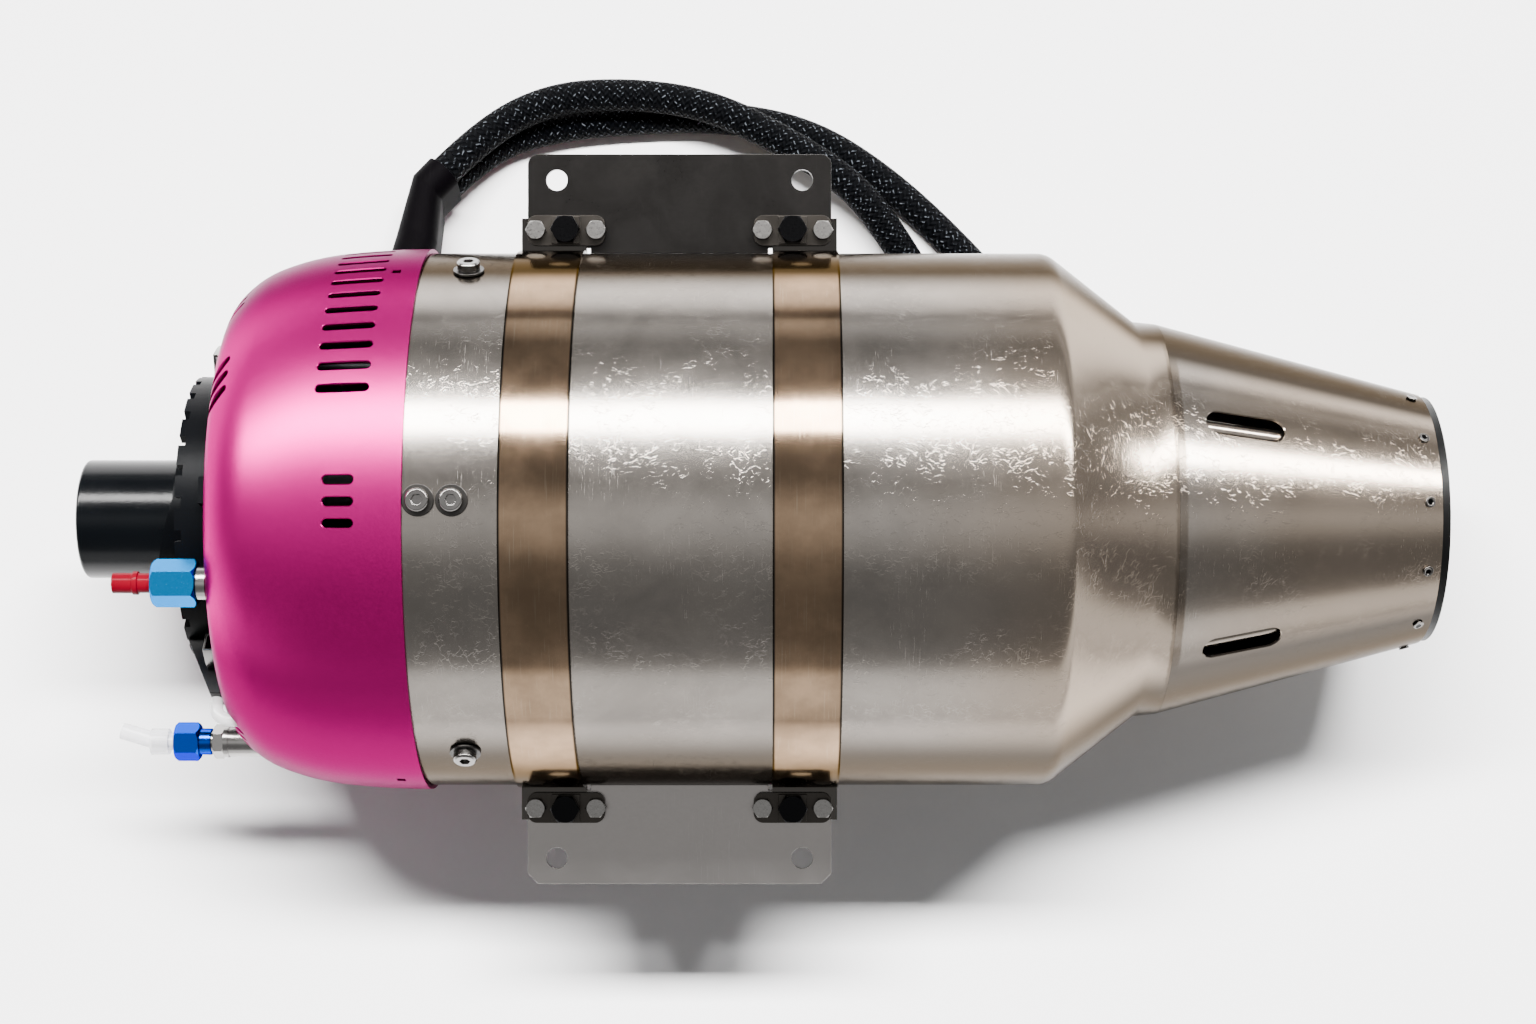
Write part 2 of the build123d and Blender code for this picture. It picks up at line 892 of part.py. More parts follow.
def inner_liner():
    """Inner wall of the chamber, from its rim in front of the dome to the guide vane ring."""
    collar = gas_hub + slip
    front = dome_station - slip - liner_wall
    rear = guide_front + liner_collar
    outline = [
        (front, inner_liner_radius + 2.0),
        (dome_station - slip, inner_liner_radius + 2.0),
        (dome_station - slip, inner_liner_radius),
        (liner_shoulder + 4.0, inner_liner_radius),
        (guide_front - 2.0, collar + liner_wall),
        (rear, collar + liner_wall),
        (rear, collar),
        (guide_front - 2.2, collar),
        (liner_shoulder + 3.8, inner_liner_radius - liner_wall),
        (front, inner_liner_radius - liner_wall),
    ]
    liner = turned(outline)
    hole = Pos(0, 0, inner_liner_radius - 2) * extrude(Circle(air_hole_radius), 4)
    for k in range(inner_air_holes):
        liner -= seat(0.0, 0, 360 / inner_air_holes * k) * hole
    return liner


def vaporiser_tubes():
    inner = vaporiser_radius - vaporiser_wall
    pitch = 360 / vaporiser_count
    places = [place_at(vaporiser_circle, pitch * k) for k in range(vaporiser_count)]
    ends = (vaporiser_front, vaporiser_rear)
    return group([tube(*ends, vaporiser_radius, inner, place) for place in places])


def fuel_manifold():
    """Ring pipe behind the chamber with a needle into each vaporiser tube."""
    section = RectangleRounded(2 * manifold_tube, 2 * manifold_tube, manifold_tube * 0.6)
    manifold = revolve(Pos(manifold_station, vaporiser_circle) * section, Axis.X)
    for k in range(vaporiser_count):
        place = place_at(vaporiser_circle, 360 / vaporiser_count * k)
        manifold += rod(manifold_station - needle_reach, manifold_station - 1.0, needle_radius, place)
    return manifold


def gas_and_fuel_line(angle, start, circle, end):
    """Thin steel pipe through the annulus inside the casing, given as (station, radius) ends."""
    plane = axial_plane(angle)
    last_station, last_circle = end
    corners = [start, (start[0] + 16.0, circle), (start[0] + 26.0, line_circle)]
    turn_in = (manifold_station if last_station > 0 else dome_station - 8.0, line_circle)
    corners.append(turn_in)
    if last_station < 0:
        corners.append((turn_in[0], last_circle))
    corners.append(end)
    points = [plane.from_local_coords(Vector(station, radius)) for station, radius in corners]
    radii = [10.0, 10.0] + [line_bend] * (len(corners) - 4)
    return bar_along(points, radii, line_radius)[0]


def fuel_line():
    circle = hypot(fuel_y, fuel_z)
    end = (manifold_station, vaporiser_circle + manifold_tube + slip)
    return gas_and_fuel_line(fuel_angle, (fuel_stem_rear + slip, circle), circle, end)


def gas_line():
    circle = hypot(gas_y, gas_z)
    end = (dome_station + 2.0, plug_circle)
    return gas_and_fuel_line(gas_angle, (gas_tube_rear + slip, circle), circle, end)


def glow_plug():
    place = place_at(plug_circle, plug_angle)
    front = dome_station - slip
    plug = rod(front, front + 12.0, plug_radius, place)
    plug += hexagon(front - 4.0, front, 8.0, place)
    return plug + rod(front - 9.0, front - 4.0, 1.5, place)


def crescent(front, rear, camber, thickness):
    """Flat outline of a turbine vane between two stations, drawn in a plane that faces out."""
    middle = (front + rear) / 2
    back = ThreePointArc((front, 0), (middle, camber + thickness / 2), (rear, -camber * 0.4))
    belly = ThreePointArc((rear, -camber * 0.4), (middle, camber - thickness / 2), (front, 0))
    return make_face([back, belly])


def nozzle_guide_vanes():
    """Inner and outer ring with vanes between them, on a web that seats on the tunnel flange."""
    web_front = tunnel_rear + slip
    hub_rear = web_front + 8.0
    vanes = ring(guide_front, guide_rear, gas_tip, outer_ring)
    vanes += ring(guide_front, hub_rear, gas_hub - ring_wall, gas_hub)
    vanes += ring(web_front, web_front + web_thickness, tunnel_shoulder, gas_hub - ring_wall + 0.2)
    vane = extrude(crescent(guide_front + liner_collar + 1.0, hub_rear, 3.2, 2.4), gas_tip - gas_hub + 1.0)
    for k in range(guide_vane_count):
        vanes += seat(0, gas_hub - 0.5, 360 / guide_vane_count * k) * vane
    return vanes


def turbine_wheel():
    bore = journal_radius + press
    boss_front = rear_bearing + bearing_width + press
    outline = [
        (boss_front, bore),
        (boss_front, boss_radius),
        (turbine_front - 1.0, boss_radius),
        (turbine_front, 9.0),
        (turbine_front, gas_hub - 0.5),
        (turbine_rear, gas_hub - 0.5),
        (turbine_rear, 9.0),
        (turbine_rear + 2.0, 8.0),
        (turbine_rear + 2.0, bore),
    ]
    wheel = turned(outline)
    root = gas_hub - 1.5
    blade = extrude(crescent(turbine_front + 0.8, turbine_rear - 0.8, -2.4, 1.9), gas_tip - 0.9 - root)
    for k in range(turbine_blades):
        wheel += seat(0, root, 360 / turbine_blades * k) * blade
    return wheel


def turbine_nut():
    front = turbine_rear + 2.0 + press
    nut = hexagon(front, front + nut_length, nut_flats, (0.0, 0.0), 0.8)
    return nut - rod(front - 1, front + nut_length + 1, journal_radius + press)


def rear_bulkhead():
    """Cone that closes the casing between the guide vane ring and the nozzle."""
    inner = outer_ring + slip
    collar_rear = bulkhead_front + 4.0
    rim = collar_radius - casing_wall - slip
    tuck = shell_radius(bulkhead_rear) - sheet - slip
    outline = [
        (bulkhead_front, inner),
        (collar_rear, inner),
        (cone_end, rim - sheet),
        (nozzle_front, rim - sheet),
        (bulkhead_rear, tuck - sheet),
        (bulkhead_rear, tuck),
        (nozzle_front, rim),
        (cone_end, rim),
        (collar_rear - 0.2, inner + sheet),
        (bulkhead_front, inner + sheet),
    ]
    return turned(outline)


def jet_pipe():
    inner = outer_ring + slip
    outline = [
        (pipe_collar_front, inner),
        (pipe_start, inner),
        (pipe_rear, pipe_rear_radius - sheet),
        (pipe_rear, pipe_rear_radius),
        (pipe_start, inner + sheet),
        (pipe_collar_front, inner + sheet),
    ]
    return turned(outline)


def tail_cone():
    """Hollow cone behind the turbine on struts that reach the jet pipe."""
    corners = [(tail_front, gas_hub - 1.0), (tail_front + 37.0, 20.5), (tail_rear, tail_tip)]
    outside = dome_line(corners, 0)
    inside = dome_line(corners, sheet)[0]
    edges = [
        *outside,
        Polyline(outside[-1] @ 1, (tail_rear, 0), (tail_rear - 5 * sheet, 0), inside @ 1),
        inside,
        Line(inside @ 0, outside[0] @ 0),
    ]
    cone = revolve(make_face(edges), Axis.X)
    strut = Box(16.0, 2.0, 30.0, align=(Align.MIN, Align.CENTER, Align.MIN))
    reach = turned(
        [
            (pipe_collar_front, 0),
            (pipe_collar_front, outer_ring),
            (pipe_start, outer_ring),
            (pipe_rear, pipe_rear_radius - sheet - slip),
            (pipe_rear, 0),
        ]
    )
    for k in range(tail_strut_count):
        strut_seat = seat(tail_front + 6.0, gas_hub - 4.5, 90 + 360 / tail_strut_count * k)
        cone += (strut_seat * strut) & reach
    return cone


def rivet_seats():
    """Places of the rivets on the nozzle shell, square to its slope."""
    lean = Rot(0, degrees(atan2(shell_slope, 1)), 0)
    lift = shell_radius(rivet_station) + 2 * slip
    angles = [rivet_phase + 360 / rivet_count * k for k in range(rivet_count)]
    return [seat(rivet_station, lift, angle).location * lean for angle in angles]


def rivet_holes():
    """Cutters through the shell and the ring behind it."""
    depth = 4.0
    hole = Pos(0, 0, -depth) * extrude(Circle(rivet_shank + slip), 2 * depth)
    return [place * hole for place in rivet_seats()]


def nozzle_shell():
    front = nozzle_front + slip
    outline = [
        (front, shell_radius(front) - sheet),
        (shell_rear, shell_rear_radius - sheet),
        (shell_rear, shell_rear_radius),
        (front, shell_radius(front)),
    ]
    shell = turned(outline)
    slot = Pos(0, 0, -5) * extrude(SlotOverall(slot_length, slot_width), 10)
    slot = Rot(0, degrees(atan2(shell_slope, 1)), 0) * slot
    for k in range(slot_count):
        angle = slot_phase + 360 / slot_count * k
        shell -= seat(slot_station, shell_radius(slot_station), angle) * slot
    return shell - rivet_holes()


def nozzle_struts():
    """Half-round bars on the jet pipe, one under each slot of the shell."""
    top = shell_radius(slot_station) - sheet - strut_clear
    lean = degrees(atan2(shell_slope, 1))
    half = strut_width / 2
    outline = make_face(
        [
            ThreePointArc((-half, -half), (0, 0), (half, -half)),
            Polyline((half, -half), (half, -20), (-half, -20), (-half, -half)),
        ]
    )
    across = Plane(origin=(-strut_length / 2, 0, 0), x_dir=(0, 1, 0), z_dir=(1, 0, 0))
    strut = Rot(0, lean, 0) * (across * extrude(outline, strut_length))
    cone = turned(
        [
            (pipe_start, 0),
            (pipe_start, pipe_radius(pipe_start) + slip),
            (pipe_rear, pipe_rear_radius + slip),
            (pipe_rear, 0),
        ]
    )
    angles = [slot_phase + 360 / slot_count * k for k in range(slot_count)]
    return group([seat(slot_station, top, angle) * strut - cone for angle in angles])


def rim_ring():
    """Filler ring between the jet pipe and the shell, proud of the shell's rear edge."""
    outside = shell_rear_radius - sheet - slip
    outline = [
        (rim_ring_front, pipe_radius(rim_ring_front) + slip),
        (rim_ring_rear, pipe_radius(rim_ring_rear) + slip),
        (rim_ring_rear, outside),
        (shell_rear, outside),
        (rim_ring_front, shell_radius(rim_ring_front) - sheet - slip),
    ]
    return turned(outline) - rivet_holes()


def nozzle_rivets():
    rivet = extrude(Circle(rivet_head), 0.6) + Pos(0, 0, -1.2) * extrude(Circle(rivet_shank), 1.2)
    return group([place * rivet for place in rivet_seats()])


def band_half(centre, side):
    """One half of a clamp band: a half ring with a flat ear at each end, above or below."""
    inner = casing_radius + slip
    outer = inner + band_sheet
    gap = bracket_sheet / 2 + slip
    width = band_width / 2
    half = ring(centre - width, centre + width, inner, outer)
    above = Box(2 * band_width, 4 * casing_radius, 2 * casing_radius)
    half = half & Pos(centre, 0, gap + casing_radius) * above
    for sign in (-1, 1):
        depth = ear_depth
        ear = Pos(centre, sign * (inner + depth / 2), gap + band_sheet / 2)
        half += ear * Box(band_width, depth, band_sheet)
        slot = Pos(0, 0, inner - 2) * extrude(SlotOverall(fold_hole_length, fold_hole_width), 5)
        half -= seat(centre, 0, sign * fold_hole_angle) * slot
    half -= bolt_holes()
    if side < 0:
        half = mirror(half, Plane.XY)
    return half


def bolt_places():
    """(x, y) of the small bolts and of the studs of all four pairs of ears."""
    small = []
    studs = []
    for x in (-ear_centre, ear_centre):
        for y in (-ear_line, ear_line):
            studs.append((x, y))
            small += [(x - bolt_offset, y), (x + bolt_offset, y)]
    return small, studs


def bolt_holes():
    """Cutters through ears, brackets and clamp plates."""
    small, studs = bolt_places()
    reach = 12.0
    bolt_hole = Pos(0, 0, -reach) * extrude(Circle(bolt_shank + slip), 2 * reach)
    stud_hole = Pos(0, 0, -reach) * extrude(Circle(stud_shank + slip), 2 * reach)
    return [Pos(x, y, 0) * bolt_hole for x, y in small] + [Pos(x, y, 0) * stud_hole for x, y in studs]


def mount_bracket(side):
    """Flat plate with two holes, bent down at its inner edge between the bands."""
    depth = bracket_edge - bracket_inner
    plate = Pos(0, side * (bracket_inner + depth / 2), 0) * Box(bracket_length, depth, bracket_sheet)
    corners = plate.edges().filter_by(Axis.Z).group_by(Axis.Y)[-1 if side > 0 else 0]
    plate = fillet(corners, bracket_corner) if side > 0 else chamfer(corners, bracket_corner)
    foot_y = side * (bracket_inner + slip - bracket_sheet / 2 + 0.3)
    foot = Pos(0, foot_y, (bracket_sheet / 2 - foot_depth) / 2)
    plate += foot * Box(foot_length, bracket_sheet, foot_depth + bracket_sheet / 2)
    for x in (-hole_spacing / 2, hole_spacing / 2):
        plate -= Pos(x, side * hole_reach, -bracket_sheet) * extrude(Circle(hole_radius), 2 * bracket_sheet)
    return plate - bolt_holes()


def clamp_plates():
    """Plates over and under every pair of ears, each with a hump under the stud."""
    plate = extrude(RectangleRounded(ear_plate_length, ear_plate_height, 3.0), ear_plate_sheet)
    hump = Pos(0, 0, ear_plate_sheet) * extrude(Rectangle(ear_hump, ear_plate_height - 1.0), ear_hump_height)
    plate += hump
    lift = bracket_sheet / 2 + band_sheet + 2 * slip
    pieces = []
    cuts = bolt_holes()
    for x in (-ear_centre, ear_centre):
        for y in (-ear_line, ear_line):
            upper = Pos(x, y, lift) * plate - cuts
            pieces += [upper, mirror(upper, Plane.XY)]
    return group(pieces)


def clamp_bolts():
    small, studs = bolt_places()
    lift = bracket_sheet / 2 + band_sheet + ear_plate_sheet + 3 * slip
    reach = 2 * lift + bolt_head_height + 0.8
    bolt = hex_head(bolt_head_height, bolt_flats, 0.4)
    bolt += Pos(0, 0, -reach) * extrude(Circle(bolt_shank), reach)
    pieces = [Pos(x, y, lift) * bolt for x, y in small]
    lift += ear_hump_height
    reach = 2 * lift + stud_head_height + 0.8
    stud = hex_head(stud_head_height, stud_flats, 0.6)
    stud += Pos(0, 0, -reach) * extrude(Circle(stud_shank), reach)
    return group(pieces + [Pos(x, y, lift) * stud for x, y in studs])


def clamp_nuts():
    small, studs = bolt_places()
    lift = bracket_sheet / 2 + band_sheet + ear_plate_sheet + 3 * slip
    nut = hex_head(bolt_head_height, bolt_flats, 0.4)
    nut -= extrude(Circle(bolt_shank + slip), bolt_head_height)
    pieces = [Pos(x, y, -lift) * Rot(180, 0, 0) * nut for x, y in small]
    lift += ear_hump_height
    nut = hex_head(stud_head_height, stud_flats, 0.6)
    nut -= extrude(Circle(stud_shank + slip), stud_head_height)
    return group(pieces + [Pos(x, y, -lift) * Rot(180, 0, 0) * nut for x, y in studs])


def starter_housing():
    """Drawn can, closed in front, with a bush for the motor shaft."""
    outline = [
        (can_front, 0),
        (can_front, can_radius),
        (can_rear, can_radius),
        (can_rear, can_bore),
        (can_front + can_wall, can_bore),
        (can_front + can_wall, 4.0),
        (can_front + can_wall + 3.5, 4.0),
        (can_front + can_wall + 3.5, motor_shaft + turning),
        (can_front + can_wall, motor_shaft + turning),
        (can_front + can_wall, 0),
    ]
    return turned(outline, [((can_front, can_radius), 1.2)])


def starter_end_cap():
    front = can_rear - cap_thickness
    cap = tube(front, can_rear, can_bore - slip, motor_shaft + turning)
    return cap + tube(can_rear, can_rear + 2.0, 5.0, motor_shaft + turning)


def starter_magnets():
    section = make_face(
        Polyline(
            (magnet_front, magnet_inner),
            (magnet_rear, magnet_inner),
            (magnet_rear, can_bore - slip),
            (magnet_front, can_bore - slip),
            close=True,
        )
    )
    arc = revolve(section, Axis.X, magnet_span)
    return group([Rot(turn - magnet_span / 2, 0, 0) * arc for turn in (0, 180)])


def starter_armature():
    """Motor shaft with the laminated armature and its commutator."""
    front = magnet_front + 1.0
    rear = magnet_rear - 1.0
    armature = rod(front, rear, armature_radius)
    for k in range(armature_slots):
        slot = Box(rear - front + 2, armature_slot_width, armature_slot_depth * 2)
        armature -= seat((front + rear) / 2, armature_radius, 360 / armature_slots * k) * slot
    armature += rod(can_front + can_wall + turning, motor_shaft_tip, motor_shaft)
    return armature + rod(rear + 0.8, can_rear - cap_thickness - 0.6, commutator_radius)


def clutch_cup():
    floor = clutch_front + clutch_floor
    outline = [
        (clutch_front, motor_shaft + slip),
        (clutch_front, clutch_radius - 1.5),
        (clutch_front + 1.5, clutch_radius),
        (clutch_rear, clutch_radius),
        (clutch_rear, clutch_bore),
        (floor, clutch_bore),
        (floor, motor_shaft + slip),
    ]
    return turned(outline)


def starter_holder():
    """Sleeve for the starter on spokes, with a castellated guard and feet on the intake lip."""
    bore = can_radius + slip
    outer = bore + holder_wall
    sleeve = ring(holder_front, spoke_rear, bore, outer)
    middle = (holder_front + holder_slant / 2, 0, 0)
    slant = Plane(origin=middle, x_dir=(0, 0, 1), z_dir=(-2 * outer, holder_slant, 0))
    sleeve -= slant * extrude(Circle(2 * outer), 2 * outer)
    sleeve += ring(-153.0, -150.5, bore, holder_collar)
    sleeve += ring(hub_front, spoke_rear, outer - 0.2, hub_rim)
    guard = ring(guard_front, guard_rear, guard_radius - guard_rim, guard_radius)
    pitch = 360 / guard_lugs
    for k in range(guard_lugs):
        notch = Box(3.0, 3.4, guard_rim * 3)
        guard -= seat(guard_front + 0.5, guard_radius, pitch * (k + 0.5)) * notch
    depth = guard_radius - guard_rim - hub_rim + 1.5
    spoke = Box(8.0, spoke_width, depth, align=(Align.MAX, Align.CENTER, Align.MIN))
    for k in range(guard_spokes):
        guard += seat(spoke_rear, hub_rim - 0.8, 360 / guard_spokes * k) * spoke
    foot = Box(
        foot_sheet, foot_width, foot_reach - guard_radius + 1.5, align=(Align.MAX, Align.CENTER, Align.MIN)
    )
    for k in range(clip_count):
        guard += seat(guard_rear, guard_radius - 1.5, foot_first + 360 / clip_count * k) * foot
    return sleeve + guard


def lead_channel():
    """Channel that takes the starter leads from the guard ring down the front of the cover."""
    inner = guard_radius + slip
    front = cover_front - 2 * slip
    plane = axial_plane(channel_angle)
    outline = [
        (guard_front + 0.4, inner),
        (guard_front + 5.0, inner),
        (front, channel_end - 4.0),
        (front, channel_end),
        (front - 3.4, channel_end),
    ]
    bar = plane * extrude(make_face(Polyline(*outline, close=True)), channel_width / 2, both=True)
    groove = [
        (guard_front + 2.0, inner - 1.0),
        (guard_front + 6.0, inner - 1.0),
        (front + 1.0, channel_end - 5.0),
        (front + 1.0, channel_end - 2.4),
        (front - 1.6, channel_end - 2.4),
    ]
    cut = plane * extrude(make_face(Polyline(*groove, close=True)), channel_width / 2 - 1.2, both=True)
    return bar - cut


def lead_sleeve():
    station = cover_front - slip - 1.8
    plane = axial_plane(channel_angle)
    corners = [(station, channel_end + slip), (station, sleeve_circle), (cover_front + 12.0, sleeve_circle)]
    points = [plane.from_local_coords(Vector(*corner)) for corner in corners]
    return bar_along(points, [sleeve_radius * 2], sleeve_radius * 0.9)[0]


def fuel_fitting():
    """Threaded stub, flange ring on the cover and the stem that carries the fuel line."""
    stub = rod(fuel_stub_front, fuel_nut_rear + slip, fuel_thread, fuel_place)
    ring_rear = cover_front - 2 * slip
    stub += rod(fuel_nut_rear + slip, ring_rear, fuel_ring_radius, fuel_place)
    stub += rod(ring_rear, fuel_stem_rear, fuel_stem, fuel_place)
    return stub - rod(fuel_stub_front - 1, fuel_stub_front + fuel_bore_depth, fuel_bore, fuel_place)


def fuel_nut():
    nut = hexagon(fuel_nut_front, fuel_nut_rear, fuel_flats, fuel_place, 0.9)
    lip = fuel_nut_front + fuel_nut_lip
    nut -= rod(lip, fuel_nut_rear + 1, fuel_thread + slip, fuel_place)
    return nut - rod(fuel_nut_front - 1, fuel_nut_rear, fuel_cap_neck + turning, fuel_place)


def fuel_cap():
    """Push-in dust cap: a gripped head, a collar and a neck that reaches the stub."""
    middle = (fuel_cap_front + fuel_nut_front) / 2
    cap = rod(fuel_cap_front, middle, 3.0, fuel_place)
    cap += rod(middle, middle + 1.6, 3.45, fuel_place)
    return cap + rod(middle + 1.6, fuel_stub_front - 0.3, fuel_cap_neck, fuel_place)


def gas_fitting():
    """Barbed stem, thread, hexagon and washer on the tube that runs into the cover."""
    fitting = rod(gas_barb_front, gas_nut_front + 2.0, gas_barb, gas_place)
    fitting += rod(gas_nut_front + 2.0, gas_hex_front, gas_thread, gas_place)
    fitting += hexagon(gas_hex_front, gas_washer_front, gas_hex_flats, gas_place, 0.5)
    fitting += rod(gas_washer_front, gas_tube_front, fuel_ring_radius, gas_place)
    return fitting + rod(gas_tube_front, gas_tube_rear, gas_tube_radius, gas_place)


def gas_nut():
    nut = hexagon(gas_nut_front, gas_nut_rear, gas_flats, gas_place, 0.8)
    nut += rod(gas_nut_rear, gas_collar_rear, gas_collar_radius, gas_place)
    nut -= rod(gas_nut_front + 2.0, gas_collar_rear + 1, gas_thread + slip, gas_place)
    return nut - rod(gas_nut_front - 1, gas_collar_rear, gas_barb + 0.2, gas_place)


def gas_cap():
    """Soft cap on the barbed stem, with a bent and pinched end."""
    cap = rod(gas_cap_front, gas_cap_rear, gas_cap_radius, gas_place)
    cap += rod(gas_cap_rear, gas_nut_front - 0.1, gas_cap_stem, gas_place)
    tip = Vector(gas_cap_tip[0], gas_cap_tip[1], gas_z)
    root = Vector(gas_cap_front + 2.0, gas_y, gas_z)
    cap += Plane(origin=root, z_dir=tip - root) * extrude(Circle(2.6), (tip - root).length)
    return cap - rod(gas_barb_front - slip, gas_nut_front + 1, gas_barb + slip, gas_place)


def control_board():
    """Arc-shaped board on the posts of the bellmouth, with its larger parts."""
    section = make_face(
        Polyline(
            (board_station, board_inner),
            (board_station + board_sheet, board_inner),
            (board_station + board_sheet, board_outer),
            (board_station, board_outer),
            close=True,
        )
    )
    board = Rot(90 - board_first - board_span, 0, 0) * revolve(section, Axis.X, board_span)
    middle = (board_inner + board_outer) / 2
    part = Box(3.6, 9.0, 7.0, align=(Align.MAX, Align.CENTER, Align.CENTER))
    for angle in (50.0, 74.0, 104.0, 176.0):
        board += seat(board_station + 0.2, middle, angle) * part
    for angle in (144.0, 204.0, 220.0):
        board += rod(board_station - 8.0, board_station + 0.2, 4.0, place_at(middle - 1, angle))
    return board


def heading(turn, pitch):
    """Unit vector from a turn in plan and a pitch above the horizontal."""
    flat = cos(radians(pitch))
    return Vector(flat * cos(radians(turn)), flat * sin(radians(turn)), sin(radians(pitch)))


def boot_axes():
    """Direction in which the cables leave the boot, and the direction in which they are stacked."""
    leaving = heading(boot_heading, boot_pitch)
    upwards = heading(boot_heading, boot_pitch + 90)
    side = Vector(-sin(radians(boot_heading)), cos(radians(boot_heading)), 0)
    stack = upwards * cos(radians(boot_twist)) + side * sin(radians(boot_twist))
    return leaving, stack


def boot_plane(origin, normal):
    """Section plane of the boot with its X along the stack of cables."""
    stack = boot_axes()[1]
    normal = normal.normalized()
    return Plane(origin=origin, x_dir=stack - normal * stack.dot(normal), z_dir=normal)


def harness_boot_shape(grow):
    """Outside of the boot: a smooth loft out of the cover and a straight collar."""
    leaving = boot_axes()[0]
    collar = Vector(*boot_end) - leaving * boot_collar
    first = Vector(*boot_middle) - Vector(*boot_root)
    planes = [
        boot_plane(Vector(*boot_root), first),
        boot_plane(Vector(*boot_middle), collar - Vector(*boot_root)),
        boot_plane(collar, leaving),
    ]
    sizes = (boot_root_size, boot_middle_size, boot_end_size)
    faces = [
        plane * SlotOverall(length + 2 * grow, width + 2 * grow)
        for plane, (length, width) in zip(planes, sizes)
    ]
    shape = loft(faces, ruled=True)
    return shape + extrude(faces[-1], boot_collar, dir=leaving)


def cable_boot():
    """Rubber boot with an open collar that both cables leave."""
    leaving = boot_axes()[0]
    boot = harness_boot_shape(0)
    floor = boot_plane(Vector(*boot_end) - leaving * boot_recess, leaving)
    mouth = SlotOverall(boot_end_size[0] - 2 * boot_wall, boot_end_size[1] - 2 * boot_wall)
    return boot - floor * extrude(mouth, boot_recess + 5)


def cable_route(side, plan):
    """Corner points of a cable: straight out of the boot, then the points that lie on the surface."""
    leaving, stack = boot_axes()
    start = Vector(*boot_end) - leaving * boot_recess + stack * (side * cable_offset)
    return [start, start + leaving * first_run] + [Vector(*point) for point in plan]


def power_route():
    """The upper cable lies over the other one, then comes down beside it under the engine."""
    top = cable_hump
    low = cable_rest
    return cable_route(
        1,
        [
            (-46.0, 140.2, top),
            (-19.0, 142.0, top),
            (8.0, 138.2, top),
            (34.0, 125.5, top),
            (56.5, 111.0, top),
            (70.0, 93.5, low + 7.0),
            (85.0, 70.0, low),
            (112.0, 49.0, low),
            (147.0, 34.0, low),
            (183.0, 24.0, low),
        ],
    )


def data_route():
    low = cable_rest
    return cable_route(
        -1,
        [
            (-46.0, 132.3, low),
            (-18.0, 135.2, low),
            (14.0, 135.8, low),
            (42.0, 130.0, low),
            (66.5, 114.5, low),
            (90.5, 92.5, low),
            (114.0, 66.0, low),
            (143.0, 52.0, low),
            (176.0, 42.0, low),
        ],
    )


def bend_radii(points):
    """Radius of each bend: the arc takes nine tenths of the shorter run beside it, at most."""
    radii = []
    for before, corner, after in zip(points, points[1:], points[2:]):
        arriving = corner - before
        leaving = after - corner
        half_turn = radians(arriving.get_angle(leaving)) / 2
        radii.append(0.45 * min(arriving.length, leaving.length) / tan(half_turn))
    return radii


def cable(name, points):
    radii = bend_radii(points)
    body, length = bar_along(points, radii, cable_diameter / 2)
    section = 3.14159265 * cable_diameter**2 / 4
    share = body.volume / (section * length)
    print(name, "length", round(length, 1), "share of section times length", round(share, 4))
    print("radii in diameters", [round(radius / cable_diameter, 1) for radius in radii])
    return body


def connector(points):
    """Plug at the end of a cable, lying on the same surface."""
    along = (points[-1] - points[-2]).normalized()
    plane = Plane(origin=points[-1], x_dir=(along.Y, -along.X, 0), z_dir=along)
    block = extrude(Rectangle(connector_width, cable_diameter), connector_length)
    block = fillet(block.edges().filter_by(Axis.Z), 1.2)
    rib = Pos(0, cable_diameter / 2 - 0.8, connector_length / 2) * Box(5.0, 1.6, connector_length - 6)
    return plane * (block + rib)


